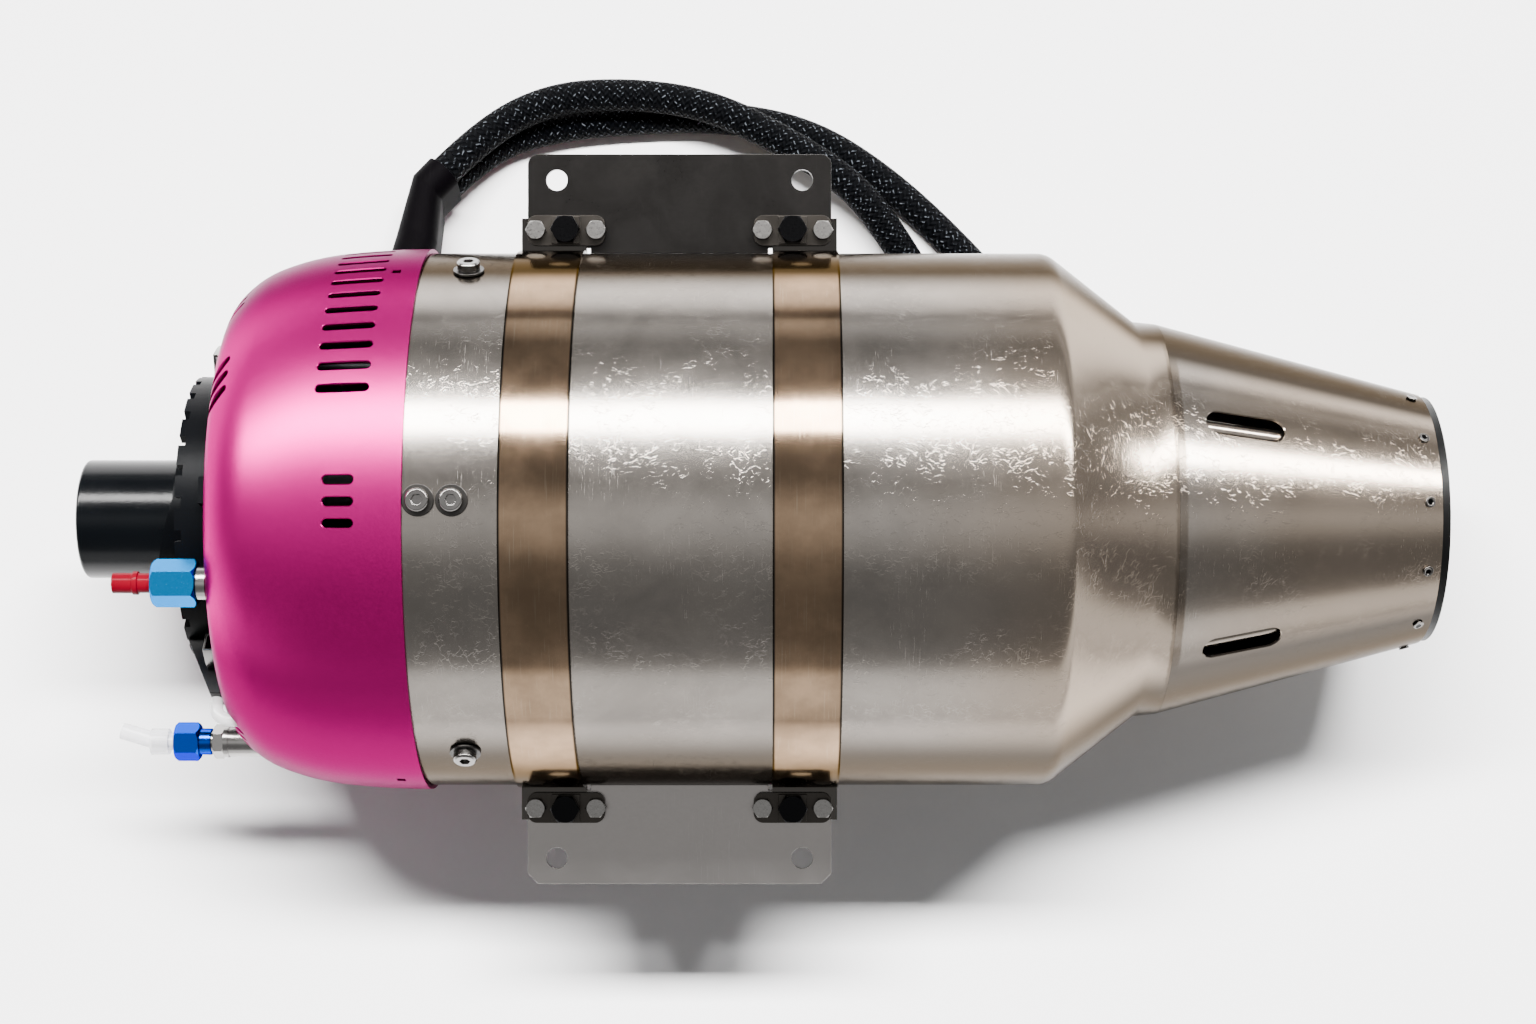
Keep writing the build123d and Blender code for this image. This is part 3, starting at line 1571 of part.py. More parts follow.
nodes = {
    "outer_casing": outer_casing,
    "casing_screws": casing_screws,
    "casing_washers": casing_washers,
    "front_cover": front_cover,
    "intake_bellmouth": intake_bellmouth,
    "cover_clips": cover_clips,
    "compressor_wheel": compressor_wheel,
    "spinner_nut": spinner_nut,
    "shaft": rotor_shaft,
    "bearing_inner_rings": bearing_inner_rings,
    "bearing_outer_rings": bearing_outer_rings,
    "diffuser": diffuser,
    "shaft_tunnel": shaft_tunnel,
    "preload_springs": preload_springs,
    "combustor_outer_liner": outer_liner,
    "combustor_inner_liner": inner_liner,
    "vaporiser_tubes": vaporiser_tubes,
    "fuel_manifold": fuel_manifold,
    "fuel_line": fuel_line,
    "gas_line": gas_line,
    "glow_plug": glow_plug,
    "nozzle_guide_vanes": nozzle_guide_vanes,
    "turbine_wheel": turbine_wheel,
    "turbine_nut": turbine_nut,
    "rear_bulkhead": rear_bulkhead,
    "jet_pipe": jet_pipe,
    "tail_cone": tail_cone,
    "nozzle_shell": nozzle_shell,
    "nozzle_struts": nozzle_struts,
    "rim_ring": rim_ring,
    "nozzle_rivets": nozzle_rivets,
    "front_band_upper": lambda: band_half(-band_centre, 1),
    "front_band_lower": lambda: band_half(-band_centre, -1),
    "rear_band_upper": lambda: band_half(band_centre, 1),
    "rear_band_lower": lambda: band_half(band_centre, -1),
    "left_mount_bracket": lambda: mount_bracket(1),
    "right_mount_bracket": lambda: mount_bracket(-1),
    "clamp_plates": clamp_plates,
    "clamp_bolts": clamp_bolts,
    "clamp_nuts": clamp_nuts,
    "starter_housing": starter_housing,
    "starter_end_cap": starter_end_cap,
    "starter_magnets": starter_magnets,
    "starter_armature": starter_armature,
    "clutch_cup": clutch_cup,
    "starter_holder": starter_holder,
    "lead_channel": lead_channel,
    "lead_sleeve": lead_sleeve,
    "fuel_fitting": fuel_fitting,
    "fuel_nut": fuel_nut,
    "fuel_cap": fuel_cap,
    "gas_fitting": gas_fitting,
    "gas_nut": gas_nut,
    "gas_cap": gas_cap,
    "control_board": control_board,
    "cable_boot": cable_boot,
    "power_cable": lambda: cable("power_cable", power_route()),
    "data_cable": lambda: cable("data_cable", data_route()),
    "power_connector": lambda: connector(power_route()),
    "data_connector": lambda: connector(data_route()),
}


def main():
    os.makedirs("parts", exist_ok=True)
    for name, build in nodes.items():
        shape = build()
        shape.label = name
        export_step(shape, "parts/" + name + ".step")


if __name__ == "__main__":
    main()
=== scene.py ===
"""Small turbojet engine on a pale studio floor, seen from straight above."""

import json
import math

import bpy
from mathutils import Matrix, Vector

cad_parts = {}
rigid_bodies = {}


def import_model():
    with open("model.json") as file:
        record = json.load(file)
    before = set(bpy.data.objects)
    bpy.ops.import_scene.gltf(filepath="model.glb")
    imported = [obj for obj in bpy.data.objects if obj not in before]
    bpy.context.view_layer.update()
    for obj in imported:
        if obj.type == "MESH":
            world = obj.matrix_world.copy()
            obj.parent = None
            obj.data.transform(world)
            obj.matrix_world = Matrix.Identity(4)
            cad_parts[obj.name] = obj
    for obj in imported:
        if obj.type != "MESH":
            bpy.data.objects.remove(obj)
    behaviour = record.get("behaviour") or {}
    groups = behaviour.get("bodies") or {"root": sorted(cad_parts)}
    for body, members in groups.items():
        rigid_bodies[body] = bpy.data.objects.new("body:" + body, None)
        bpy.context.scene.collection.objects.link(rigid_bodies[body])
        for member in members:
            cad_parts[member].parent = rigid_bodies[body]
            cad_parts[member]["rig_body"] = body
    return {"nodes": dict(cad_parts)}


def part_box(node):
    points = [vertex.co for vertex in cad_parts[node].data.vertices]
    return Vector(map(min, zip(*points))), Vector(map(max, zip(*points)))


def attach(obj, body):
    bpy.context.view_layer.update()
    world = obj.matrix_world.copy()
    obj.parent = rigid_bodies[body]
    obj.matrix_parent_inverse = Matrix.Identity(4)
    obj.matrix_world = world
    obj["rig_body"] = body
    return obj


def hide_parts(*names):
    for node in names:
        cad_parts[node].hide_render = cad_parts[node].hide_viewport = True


bl_info = {
    "name": "Turbojet engine",
    "version": (1, 0, 0),
    "blender": (4, 5, 0),
    "location": "View3D > Sidebar > Turbojet",
    "description": "Dresses the packed turbojet model and sets up its studio",
    "category": "Object",
}

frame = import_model()
MM = 0.001

# The camera looks straight down and shows the engine at 0.31 mm per pixel on the thrust axis
CAMERA_PLACE = (27.4 * MM, 2.17 * MM, 868 * MM)
CAMERA_LENS = 65.6
CAMERA_SENSOR = 36
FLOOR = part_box("front_cover")[0][2]
FLOOR_SIZE = 6.0

# Outlines that are turned again here, with more steps than the CAD meshes have, in millimetres
TURNING_STEPS = 240
COVER_WALL = 1.2
COVER_CORNERS = ((-75.6, 83.3), (-102.1, 81.8), (-120.7, 77.2), (-131.8, 69.5), (-135.4, 58.6))
COVER_ARC_STEPS = 14
COVER_MOUTH = 51.4
CASING_WALL = 0.8
CASING_SHOULDER = 8.0
CASING_OUTLINE = [
    (-80.0, 82.0),
    (112.4, 82.0),
    (139.4, 61.0),
    (146.4, 60.3),
    (146.4, 59.5),
    (139.12, 60.2),
    (112.12, 81.2),
    (-80.0, 81.2),
]
SHELL_OUTLINE = [(146.45, 60.29), (227.5, 38.6), (227.5, 37.8), (146.45, 59.49)]

# Slots as (station, circle, length, width, tilt, skew) where they cut the surface, and their
# angles round the thrust axis. A cutter reaches CUT_DEPTH below the surface, in millimetres.
CUT_DEPTH = 5.0
LONG_VENTS = ((-93.6, 82.6, 15.5, 2.6, 4.4, 0.0), [27.0 + 5.2 * k for k in range(13)])
SHORT_VENTS = ((-93.6, 82.6, 8.8, 2.6, 4.4, 0.0), [-0.7 + 4.3 * k for k in range(3)])
SHOULDER_VENTS = (
    (-132.6, 68.25, 12.0, 2.6, 52.0, 24.0),
    [first + 4.3 * k for first in (34.5, 66.0, -68.0, -86.0) for k in (-1, 0, 1)],
)
WINDOWS = ((-82.6, 83.1, 2.4, 2.4, 2.0, 0.0), [62.0, -70.0, 182.0])
SHELL_SLOTS = ((167.6, 54.64, 24.6, 7.6, -15.0, 0.0), [30.0 + 72 * k for k in range(5)])

# Where a finish changes along or round its piece, in metres, with the rivets' phase in degrees.
# Pairs are where a smooth passage begins and ends, and the stretch is how much longer the
# nozzle's slope is than its stations.
SHEET_RADIUS = 0.08
WELD_STATION = 0.1471
WELD_EDGE = (0.0012, 0.0021)
BAND_STATION = 0.03875
# Painted shadow along the bands' edges begins this far from the middle of each band
BAND_PAINTED_SHADOW_REACH = (0.0091, 0.0097)
EAR_START = (0.0826, 0.0834)
STUD_STATION = 0.035
STUD_EDGE = (0.0052, 0.0056)
RIVET_STATION = 0.2234
RIVET_CIRCLE = 0.0398
RIVET_COUNT = 12
RIVET_PHASE = 7.4
RIVET_HOLE_SHADE = (0.0008, 0.001)
RIVET_RIM = (0.0007, 0.0011)
SHELL_STRETCH = 1.035
BRAID_PITCH = 0.0032
BRAID_STRANDS = 14

# Colours of what shows on the steel, of the painted shade and painted shadow on the bands, and of
# what the steel reflects at a grazing angle
STRAW_TINT = (0.29, 0.23, 0.175)
WELD_COLOUR = (0.12, 0.095, 0.072)
STEEL_GRAZING = (0.5, 0.47, 0.44)
BAND_LINES = (0.4, 0.34, 0.26)
BAND_HIGH_SIDE_PAINTED_SHADE = (0.03, 0.026, 0.022)
BAND_LOW_SIDE_PAINTED_SHADE = (0.05, 0.042, 0.034)
BAND_EDGE_PAINTED_SHADOW = (0.02, 0.017, 0.014)
EAR_PAINTED_SHADE = (0.05, 0.046, 0.042)
BAND_GRAZING = (0.5, 0.46, 0.42)

# Softening of edges, and merging of corners in copied and turned meshes
BEVEL_STEPS = 2
BEVEL_ANGLE = math.radians(38)
SMOOTH_ANGLE = math.radians(35)
FLAT_ANGLE = math.radians(0.4)
FLAT_WEIGHT = 90
COPY_MERGE = 0.000002
TURNED_MERGE = 0.000005

# Lamps, with distances and sizes in metres. The panels are the studio that polished metal
# mirrors, as (angle round the thrust axis in degrees, level). Matt surfaces get a share of the
# sky, and the camera sees the wall brighter by WALL_LIGHT.
LAMP_DISTANCE = 1.6
LAMP_COLOUR = (1.0, 0.99, 0.975)
STRIP_SIZE = (4.6, 0.36)
OVERHEAD_SIZE = (1.2, 0.24)
OVERHEAD_LEAN = 0.9
PANELS = (
    (-180, 1.2),
    (-96, 1.8),
    (-80, 2.2),
    (-69, 2.0),
    (-64, 0.5),
    (-50, 0.34),
    (-30, 0.3),
    (-18, 0.4),
    (-7, 0.9),
    (2, 1.2),
    (9, 0.8),
    (16, 0.36),
    (30, 0.4),
    (54, 0.5),
    (66, 0.4),
    (80, 0.3),
    (89, 1.2),
    (180, 1.2),
)
PANEL_PEAK = 4
MATT_LIGHT = 0.21
WALL_LIGHT = 3

# Route points of the two cables, in millimetres
POWER_ROUTE = (
    (-84.2, 110.7, -60.9),
    (-68.7, 128.0, -66.7),
    (-46.0, 140.2, -66.4),
    (-19.0, 142.0, -66.4),
    (8.0, 138.2, -66.4),
    (34.0, 125.5, -66.4),
    (56.5, 111.0, -66.4),
    (70.0, 93.5, -71.0),
    (85.0, 70.0, -78.0),
    (112.0, 49.0, -78.0),
    (147.0, 34.0, -78.0),
    (183.0, 24.0, -78.0),
)
DATA_ROUTE = (
    (-84.2, 107.3, -71.2),
    (-68.7, 124.5, -77.0),
    (-46.0, 132.3, -78.0),
    (-18.0, 135.2, -78.0),
    (14.0, 135.8, -78.0),
    (42.0, 130.0, -78.0),
    (66.5, 114.5, -78.0),
    (90.5, 92.5, -78.0),
    (114.0, 66.0, -78.0),
    (143.0, 52.0, -78.0),
    (176.0, 42.0, -78.0),
)


# Shader building


class Value:
    """A shader socket that can be added, multiplied and so on like a number."""

    def __init__(self, sheet, socket):
        self.sheet = sheet
        self.socket = socket

    def __add__(self, other):
        return self.sheet.math("ADD", self, other)

    def __sub__(self, other):
        return self.sheet.math("SUBTRACT", self, other)

    def __mul__(self, other):
        return self.sheet.math("MULTIPLY", self, other)

    def __truediv__(self, other):
        return self.sheet.math("DIVIDE", self, other)

    def __rsub__(self, other):
        return self.sheet.math("SUBTRACT", other, self)

    def __rtruediv__(self, other):
        return self.sheet.math("DIVIDE", other, self)

    __radd__ = __add__
    __rmul__ = __mul__


class Sheet:
    """The node tree of one material or world."""

    def __init__(self, owner):
        self.owner = owner
        owner.use_nodes = True
        self.tree = owner.node_tree
        self.tree.nodes.clear()

    def put(self, kind, settings=None, inputs=None, output=0):
        """Adds a node with its settings and with values or links in its sockets."""
        node = self.tree.nodes.new(kind)
        for name, value in (settings or {}).items():
            if name == "stops":
                self.set_stops(node.color_ramp, value)
            else:
                setattr(node, name, value)
        for name, value in (inputs or {}).items():
            socket = node.inputs[name]
            if isinstance(value, Value):
                self.tree.links.new(value.socket, socket)
            else:
                socket.default_value = value
        return Value(self, node.outputs[output]) if node.outputs else node

    def set_stops(self, ramp, stops):
        while len(ramp.elements) < len(stops):
            ramp.elements.new(1.0)
        for element, (position, tone) in zip(ramp.elements, stops):
            element.position = position
            element.color = tone if isinstance(tone, tuple) else (tone, tone, tone, 1)

    def math(self, operation, *values):
        return self.put("ShaderNodeMath", {"operation": operation}, dict(enumerate(values)))

    def mix(self, first, second, factor):
        """Mixes two colours, which are the seventh and eighth sockets of the node."""
        inputs = {0: factor, 6: first, 7: second}
        return self.put("ShaderNodeMix", {"data_type": "RGBA"}, inputs, output=2)

    def ramp(self, value, *stops):
        return self.put("ShaderNodeValToRGB", {"stops": stops}, {0: value})

    def step(self, value, low, high):
        """0 below low and 1 above high, with a smooth passage."""
        inputs = {0: value, 1: low, 2: high, 3: 0.0, 4: 1.0}
        return self.put("ShaderNodeMapRange", {"interpolation_type": "SMOOTHSTEP"}, inputs)

    def place(self, coordinates="Object"):
        return self.put("ShaderNodeTexCoord", output=coordinates)

    def split(self, vector):
        node = self.put("ShaderNodeSeparateXYZ", None, {0: vector}).socket.node
        return [Value(self, socket) for socket in node.outputs]

    def join(self, x, y, z):
        return self.put("ShaderNodeCombineXYZ", None, {0: x, 1: y, 2: z})

    def turned(self, vector, scale, rotation=(0, 0, 0)):
        return self.put("ShaderNodeMapping", None, {0: vector, 2: rotation, 3: scale})

    def noise(self, vector, scale, detail=2.0, rough=0.5, warp=0.0):
        inputs = {"Vector": vector, "Scale": scale, "Detail": detail, "Roughness": rough}
        return self.put("ShaderNodeTexNoise", None, {**inputs, "Distortion": warp})

    def cell_edges(self, vector, scale):
        """Distance from the nearest edge between random cells."""
        settings = {"feature": "DISTANCE_TO_EDGE"}
        return self.put("ShaderNodeTexVoronoi", settings, {"Vector": vector, "Scale": scale})

    def around(self, place):
        """Coordinates on a rolled sheet: along the thrust axis and round it, in metres."""
        x, y, z = self.split(place)
        return self.join(x, self.math("ARCTAN2", y, z) * SHEET_RADIUS, 0.0)

    def side(self, place):
        """0 on top of a round body, 1 at its +Y side and -1 at its -Y side."""
        _, y, z = self.split(place)
        return y / (self.math("SQRT", y * y + z * z) + 0.0001)

    def off(self, value, middle):
        """How far a value is from the middle, either way."""
        return self.math("ABSOLUTE", value - middle)

    def bump(self, height, strength, distance, normal=None):
        inputs = {"Strength": strength, "Distance": distance, "Height": height}
        if normal:
            inputs["Normal"] = normal
        return self.put("ShaderNodeBump", None, inputs)

    def surface(self, **inputs):
        names = {name.replace("_", " "): value for name, value in inputs.items()}
        shader = self.put("ShaderNodeBsdfPrincipled", None, names)
        self.put("ShaderNodeOutputMaterial", None, {0: shader})
        return self.owner


def new_material(name):
    return Sheet(bpy.data.materials.new(name))


def shade(colour, factor=1.0):
    return tuple(min(1.0, part * factor) for part in colour[:3]) + (1.0,)


def scratches(s, vector, density):
    """Fine scratches in three directions, as a height between 0 and 1."""
    total = None
    for angle in (0.35, 1.25, 2.3):
        drawn = s.turned(vector, (density * 9, density * 0.35, 1), (0, 0, angle))
        marks = s.step(s.noise(drawn, 1.0, 3, 0.6), 0.62, 0.72)
        total = marks if total is None else s.math("MAXIMUM", total, marks)
    return total * s.step(s.noise(vector, density * 0.12, 2), 0.45, 0.62)


def crinkles(s, place, scale, width):
    """Short curved creases of even width, as a height between 0 and 1."""
    inputs = {"Vector": place, "Scale": scale * 0.8, "Detail": 2.0}
    wobble = s.put("ShaderNodeTexNoise", None, inputs, output="Color")
    inputs = {0: wobble, 1: (0.008,) * 3, 2: place}
    bent = s.put("ShaderNodeVectorMath", {"operation": "MULTIPLY_ADD"}, inputs)
    line = 1 - s.step(s.cell_edges(bent, scale), 0.0, width)
    broken = s.step(s.noise(place, scale * 0.8, 2), 0.44, 0.58)
    return line * broken * s.step(s.noise(place, scale * 0.09, 3), 0.34, 0.56)


def rolled_steel(name, colour, heat_from, high_from, low_from):
    """Satin stainless sheet with mottling, creases and a dark line where the collar is welded.

    A straw tint begins at the station heat_from. Painted shade darkens the sheet towards its +Y
    side from high_from and towards its -Y side from low_from.
    """
    s = new_material(name)
    place = s.place()
    sheet = s.around(place)
    mottle = s.noise(place, 42, 5, 0.6, 0.4)
    fine = s.noise(place, 1300, 3, 0.6)
    crumple = s.noise(place, 160, 4, 0.65, 1.2)
    creases = crinkles(s, place, 380, 0.06)
    scuffs = scratches(s, sheet, 320)
    base = s.mix(shade(colour, 0.9), shade(colour, 1.1), s.step(mottle, 0.3, 0.7))
    base = s.mix(base, shade(colour, 1.5), s.math("MAXIMUM", scuffs * 0.4, creases * 0.35))
    x = s.split(place)[0]
    edge = x + (s.noise(place, 30, 3) - 0.5) * 0.03
    heat = s.step(edge, heat_from, heat_from + 0.06)
    base = s.mix(base, shade(STRAW_TINT), heat * 0.75)
    seam = x + (s.noise(place, 240, 2) - 0.5) * 0.001
    weld = 1 - s.step(s.off(seam, WELD_STATION), *WELD_EDGE)
    weld = weld * (0.35 + s.step(mottle, 0.35, 0.6) * 0.5)
    base = s.mix(base, shade(WELD_COLOUR), weld)
    # Painted shade: the colour darkens towards both sides, in place of a dimmer reflection there
    side = s.side(place)
    base = s.mix(base, shade(colour, 0.12), s.step(side, high_from, high_from + 0.1))
    base = s.mix(base, shade(colour, 0.22), s.step(0 - side, low_from, low_from + 0.18))
    rough = 0.15 + mottle * 0.08 + (fine - 0.5) * 0.1 + scuffs * 0.12
    height = crumple * 0.4 + fine * 0.1 + scuffs * 0.4 + creases * 0.55
    return s.surface(
        Base_Color=base,
        Metallic=1.0,
        Roughness=rough,
        Specular_Tint=shade(STEEL_GRAZING),
        Normal=s.bump(height, 0.3, 0.0001),
    )


def polished_band(name, colour):
    """Golden brown steel strip with drawn lines, painted shade towards its sides and on its ears,
    and painted shadow along its edges.
    """
    s = new_material(name)
    place = s.place()
    sheet = s.around(place)
    lines = s.noise(s.turned(sheet, (2600, 60, 1)), 1.0, 2)
    cloud = s.noise(place, 55, 4, 0.6)
    base = s.mix(shade(colour, 0.8), shade(colour, 1.2), s.step(cloud, 0.3, 0.7))
    base = s.mix(base, shade(BAND_LINES), s.step(lines, 0.6, 0.75) * 0.35)
    # Painted shade: the colour darkens towards both sides, in place of a dimmer reflection there
    side = s.side(place)
    base = s.mix(base, shade(BAND_HIGH_SIDE_PAINTED_SHADE), s.step(side, 0.83, 0.89))
    base = s.mix(base, shade(BAND_LOW_SIDE_PAINTED_SHADE), s.step(0 - side, 0.8, 0.95))
    x, y, _ = s.split(place)
    # Painted shadow along both edges of each band
    border = s.off(s.math("ABSOLUTE", x), BAND_STATION)
    base = s.mix(base, shade(BAND_EDGE_PAINTED_SHADOW), s.step(border, *BAND_PAINTED_SHADOW_REACH))
    # Painted shade: the ears take a dark colour in place of their dark reflection
    ear = s.step(s.math("ABSOLUTE", y), *EAR_START)
    base = s.mix(base, shade(EAR_PAINTED_SHADE), ear)
    return s.surface(
        Base_Color=base,
        Metallic=1.0,
        Roughness=0.06 + cloud * 0.07 + lines * 0.05,
        Specular_Tint=shade(BAND_GRAZING),
        Normal=s.bump(lines * 0.4 + cloud, 0.1, 0.0002),
    )


def satin_plate(name, colour, rough_from, rough_to):
    """Flat steel with cloudy handling marks."""
    s = new_material(name)
    place = s.place()
    cloud = s.noise(place, 48, 5, 0.6, 0.8)
    fine = s.noise(place, 1400, 2)
    marks = scratches(s, place, 160)
    base = s.mix(shade(colour, 0.95), shade(colour, 1.05), s.step(cloud, 0.3, 0.7))
    base = s.mix(base, shade(colour, 1.7), marks * 0.2)
    rough = rough_from + s.step(cloud, 0.3, 0.75) * (rough_to - rough_from)
    rough = rough + (fine - 0.5) * 0.1
    normal = s.bump(fine * 0.5 + marks, 0.2, 0.0001)
    return s.surface(Base_Color=base, Metallic=1.0, Roughness=rough, Normal=normal)


def anodised(name, colour, grain, rough, tint, round_body=False):
    """Dyed satin anodising with a fine sparkle; painted shade on the sides of a round body."""
    s = new_material(name)
    place = s.place()
    speckle = s.noise(place, grain, 2, 0.7)
    cloud = s.noise(place, 30, 3)
    base = s.mix(shade(colour, 0.88), shade(colour, 1.12), speckle)
    base = s.mix(base, shade(colour, 0.8), s.step(cloud, 0.55, 0.8) * 0.3)
    value = rough + (speckle - 0.5) * 0.12 + (cloud - 0.5) * 0.06
    normal = s.bump(speckle, 0.16, 0.00008)
    if round_body:
        # Painted shade: the +Y half a little darker, the -Y side and the +Y flank much darker
        side = s.side(place)
        base = s.mix(base, shade(colour, 0.74), s.step(side, -0.3, 0.05))
        base = s.mix(base, shade(colour, 0.31), s.step(0 - side, 0.3, 0.6))
        base = s.mix(base, shade(colour, 0.14), s.step(side, 0.66, 0.9))
    return s.surface(
        Base_Color=base,
        Metallic=1.0,
        Roughness=value,
        Specular_Tint=shade(tint),
        Normal=normal,
    )


def bright_metal(name, colour, rough):
    """Turned or ground metal with a faint cloudiness."""
    s = new_material(name)
    place = s.place()
    cloud = s.noise(place, 260, 4, 0.6)
    fine = s.noise(place, 2600, 2)
    base = s.mix(shade(colour, 0.8), shade(colour, 1.1), cloud)
    normal = s.bump(fine, 0.12, 0.00005)
    return s.surface(Base_Color=base, Metallic=1.0, Roughness=rough + cloud * 0.14, Normal=normal)


def rivet_steel(name, colour):
    """Bright rivet heads with painted shade in the hollow middle of each."""
    s = new_material(name)
    place = s.place()
    x, y, z = s.split(place)
    pitch = 360 / RIVET_COUNT
    # Half a pitch puts each rivet in the middle of its share of the turn
    turned = s.math("ARCTAN2", y, z) * (180 / math.pi) + (360 + pitch / 2 - RIVET_PHASE)
    share = s.math("FRACT", turned / pitch) - 0.5
    apart = share * (2 * math.pi / RIVET_COUNT * RIVET_CIRCLE)
    along = (x - RIVET_STATION) * SHELL_STRETCH
    reach = s.math("SQRT", apart * apart + along * along)
    grain = s.noise(place, 1800, 2)
    base = s.mix(shade(colour, 0.8), shade(colour, 1.2), grain)
    # Painted shade: a dark disc where each rivet's hollow middle is
    base = s.mix(shade((0.004, 0.004, 0.004)), base, s.step(reach, *RIVET_HOLE_SHADE))
    normal = s.bump(s.step(reach, *RIVET_RIM), 0.8, 0.0003)
    return s.surface(Base_Color=base, Metallic=1.0, Roughness=0.16 + grain * 0.1, Normal=normal)


def bolt_steel(name, colour, black):
    """Grainy plated heads, with the large studs blackened."""
    s = new_material(name)
    place = s.place()
    grain = s.noise(place, 1500, 3, 0.7)
    station = s.math("ABSOLUTE", s.split(place)[0])
    stud = 1 - s.step(s.off(station, STUD_STATION), *STUD_EDGE)
    base = s.mix(shade(colour, 0.6), shade(colour, 1.4), grain)
    base = s.mix(base, shade(black), stud)
    normal = s.bump(grain, 0.4, 0.0001)
    return s.surface(Base_Color=base, Metallic=1.0, Roughness=0.2 + grain * 0.2, Normal=normal)


def cast_alloy(name, colour):
    """Grainy cast or blasted alloy."""
    s = new_material(name)
    place = s.place()
    grain = s.noise(place, 1100, 3, 0.6)
    cloud = s.noise(place, 70, 4)
    base = s.mix(shade(colour, 0.82), shade(colour, 1.08), cloud)
    normal = s.bump(grain, 0.25, 0.00015)
    return s.surface(Base_Color=base, Metallic=1.0, Roughness=0.34 + grain * 0.16, Normal=normal)


def burnt_alloy(name, colour):
    """Nickel alloy after running hot: brown, grey and faint blue clouds."""
    s = new_material(name)
    place = s.place()
    cloud = s.noise(place, 38, 5, 0.65, 0.6)
    fine = s.noise(place, 900, 3)
    base = s.ramp(
        cloud,
        (0.28, shade(colour, 0.55)),
        (0.45, shade((0.17, 0.125, 0.085))),
        (0.58, shade(colour, 1.1)),
        (0.72, shade((0.1, 0.115, 0.15))),
    )
    normal = s.bump(fine, 0.3, 0.00012)
    return s.surface(Base_Color=base, Metallic=1.0, Roughness=0.36 + fine * 0.2, Normal=normal)


def moulded(name, colour, rough, grain=900, coat=0.0, metal=0.0, shine=0.22):
    """Plastic, rubber or paint with a fine grain and light wear."""
    s = new_material(name)
    place = s.place()
    fine = s.noise(place, grain, 3, 0.6)
    cloud = s.noise(place, 60, 4)
    base = s.mix(shade(colour, 0.75), shade(colour, 1.3), cloud)
    wear = scratches(s, place, 240) * 0.04
    base = s.mix(base, shade((0.03, 0.03, 0.032)), wear)
    value = rough + (cloud - 0.5) * 0.12 + (fine - 0.5) * 0.1
    normal = s.bump(fine, 0.22, 0.0001)
    return s.surface(
        Base_Color=base,
        Metallic=metal,
        Roughness=value,
        Specular_IOR_Level=shine,
        Coat_Weight=coat,
        Coat_Roughness=0.15,
        Normal=normal,
    )


def clear_plastic(name, colour):
    """Milky see-through plastic."""
    s = new_material(name)
    place = s.place()
    cloud = s.noise(place, 220, 3)
    base = s.mix(shade(colour, 0.9), shade(colour, 1.05), cloud)
    normal = s.bump(cloud, 0.2, 0.0002)
    return s.surface(
        Base_Color=base,
        Roughness=0.12 + cloud * 0.1,
        Alpha=0.42 + cloud * 0.16,
        Coat_Weight=0.6,
        Normal=normal,
    )


def braided(name, length, diameter):
    """Black braided sleeve: strands that cross both ways, with smoother crests on some of them
    that carry a painted highlight.
    """
    s = new_material(name)
    u, v, _ = s.split(s.place("UV"))
    along = u * (length / BRAID_PITCH)
    left = along + v * BRAID_STRANDS
    right = along - v * BRAID_STRANDS
    wave_left = s.math("SINE", left * (2 * math.pi)) * 0.5 + 0.5
    wave_right = s.math("SINE", right * (2 * math.pi)) * 0.5 + 0.5
    over = s.step(s.math("SINE", (left + right) * math.pi), -0.2, 0.2)
    height = s.math("MAXIMUM", wave_left * over, wave_right * (1 - over))
    fine_left = s.math("SINE", left * (10 * math.pi)) * over
    fine_right = s.math("SINE", right * (10 * math.pi)) * (1 - over)
    threads = fine_left + fine_right
    patches = s.noise(s.join(u * (length / 0.003), v * 22, 0.0), 1.0, 2, 0.7)
    shine_and_painted_glint = s.step(patches, 0.52, 0.62) * s.step(height, 0.82, 0.97)
    base = s.mix(shade((0.0003, 0.0004, 0.0006)), shade((0.0015, 0.0017, 0.0022)), height)
    # Painted highlight: pale colour on those smoother crests
    base = s.mix(base, shade((0.09, 0.1, 0.115)), shine_and_painted_glint * 0.7)
    normal = s.bump(height + threads * 0.08, 0.8, diameter * 0.06)
    return s.surface(
        Base_Color=base,
        Roughness=0.6 - shine_and_painted_glint * 0.3,
        Specular_IOR_Level=0.02,
        Normal=normal,
    )


def pale_floor(name, colour):
    """Matt surface with a fine grain."""
    s = new_material(name)
    place = s.place()
    fine = s.noise(place, 700, 3)
    base = s.mix(shade(colour, 0.99), shade(colour, 1.01), fine)
    return s.surface(Base_Color=base, Roughness=0.62 + fine * 0.1)


# Modelling


def deselect():
    if bpy.context.object and bpy.context.object.mode != "OBJECT":
        bpy.ops.object.mode_set(mode="OBJECT")
    bpy.ops.object.select_all(action="DESELECT")


def activate(piece):
    deselect()
    piece.select_set(True)
    bpy.context.view_layer.objects.active = piece


def apply_all(piece):
    activate(piece)
    for modifier in list(piece.modifiers):
        bpy.ops.object.modifier_apply(modifier=modifier.name)


def smooth(piece, softness=0.0):
    """Smooths a piece, and bevels its sharp edges where a width is given."""
    if softness:
        bevel = piece.modifiers.new("edges", "BEVEL")
        bevel.width = softness
        bevel.segments = BEVEL_STEPS
        bevel.limit_method = "ANGLE"
        bevel.angle_limit = BEVEL_ANGLE
        bevel.use_clamp_overlap = True
    apply_all(piece)
    bpy.ops.object.shade_smooth_by_angle(angle=SMOOTH_ANGLE)
    if softness:
        weighted = piece.modifiers.new("normals", "WEIGHTED_NORMAL")
        weighted.keep_sharp = True
        weighted.weight = FLAT_WEIGHT
        apply_all(piece)


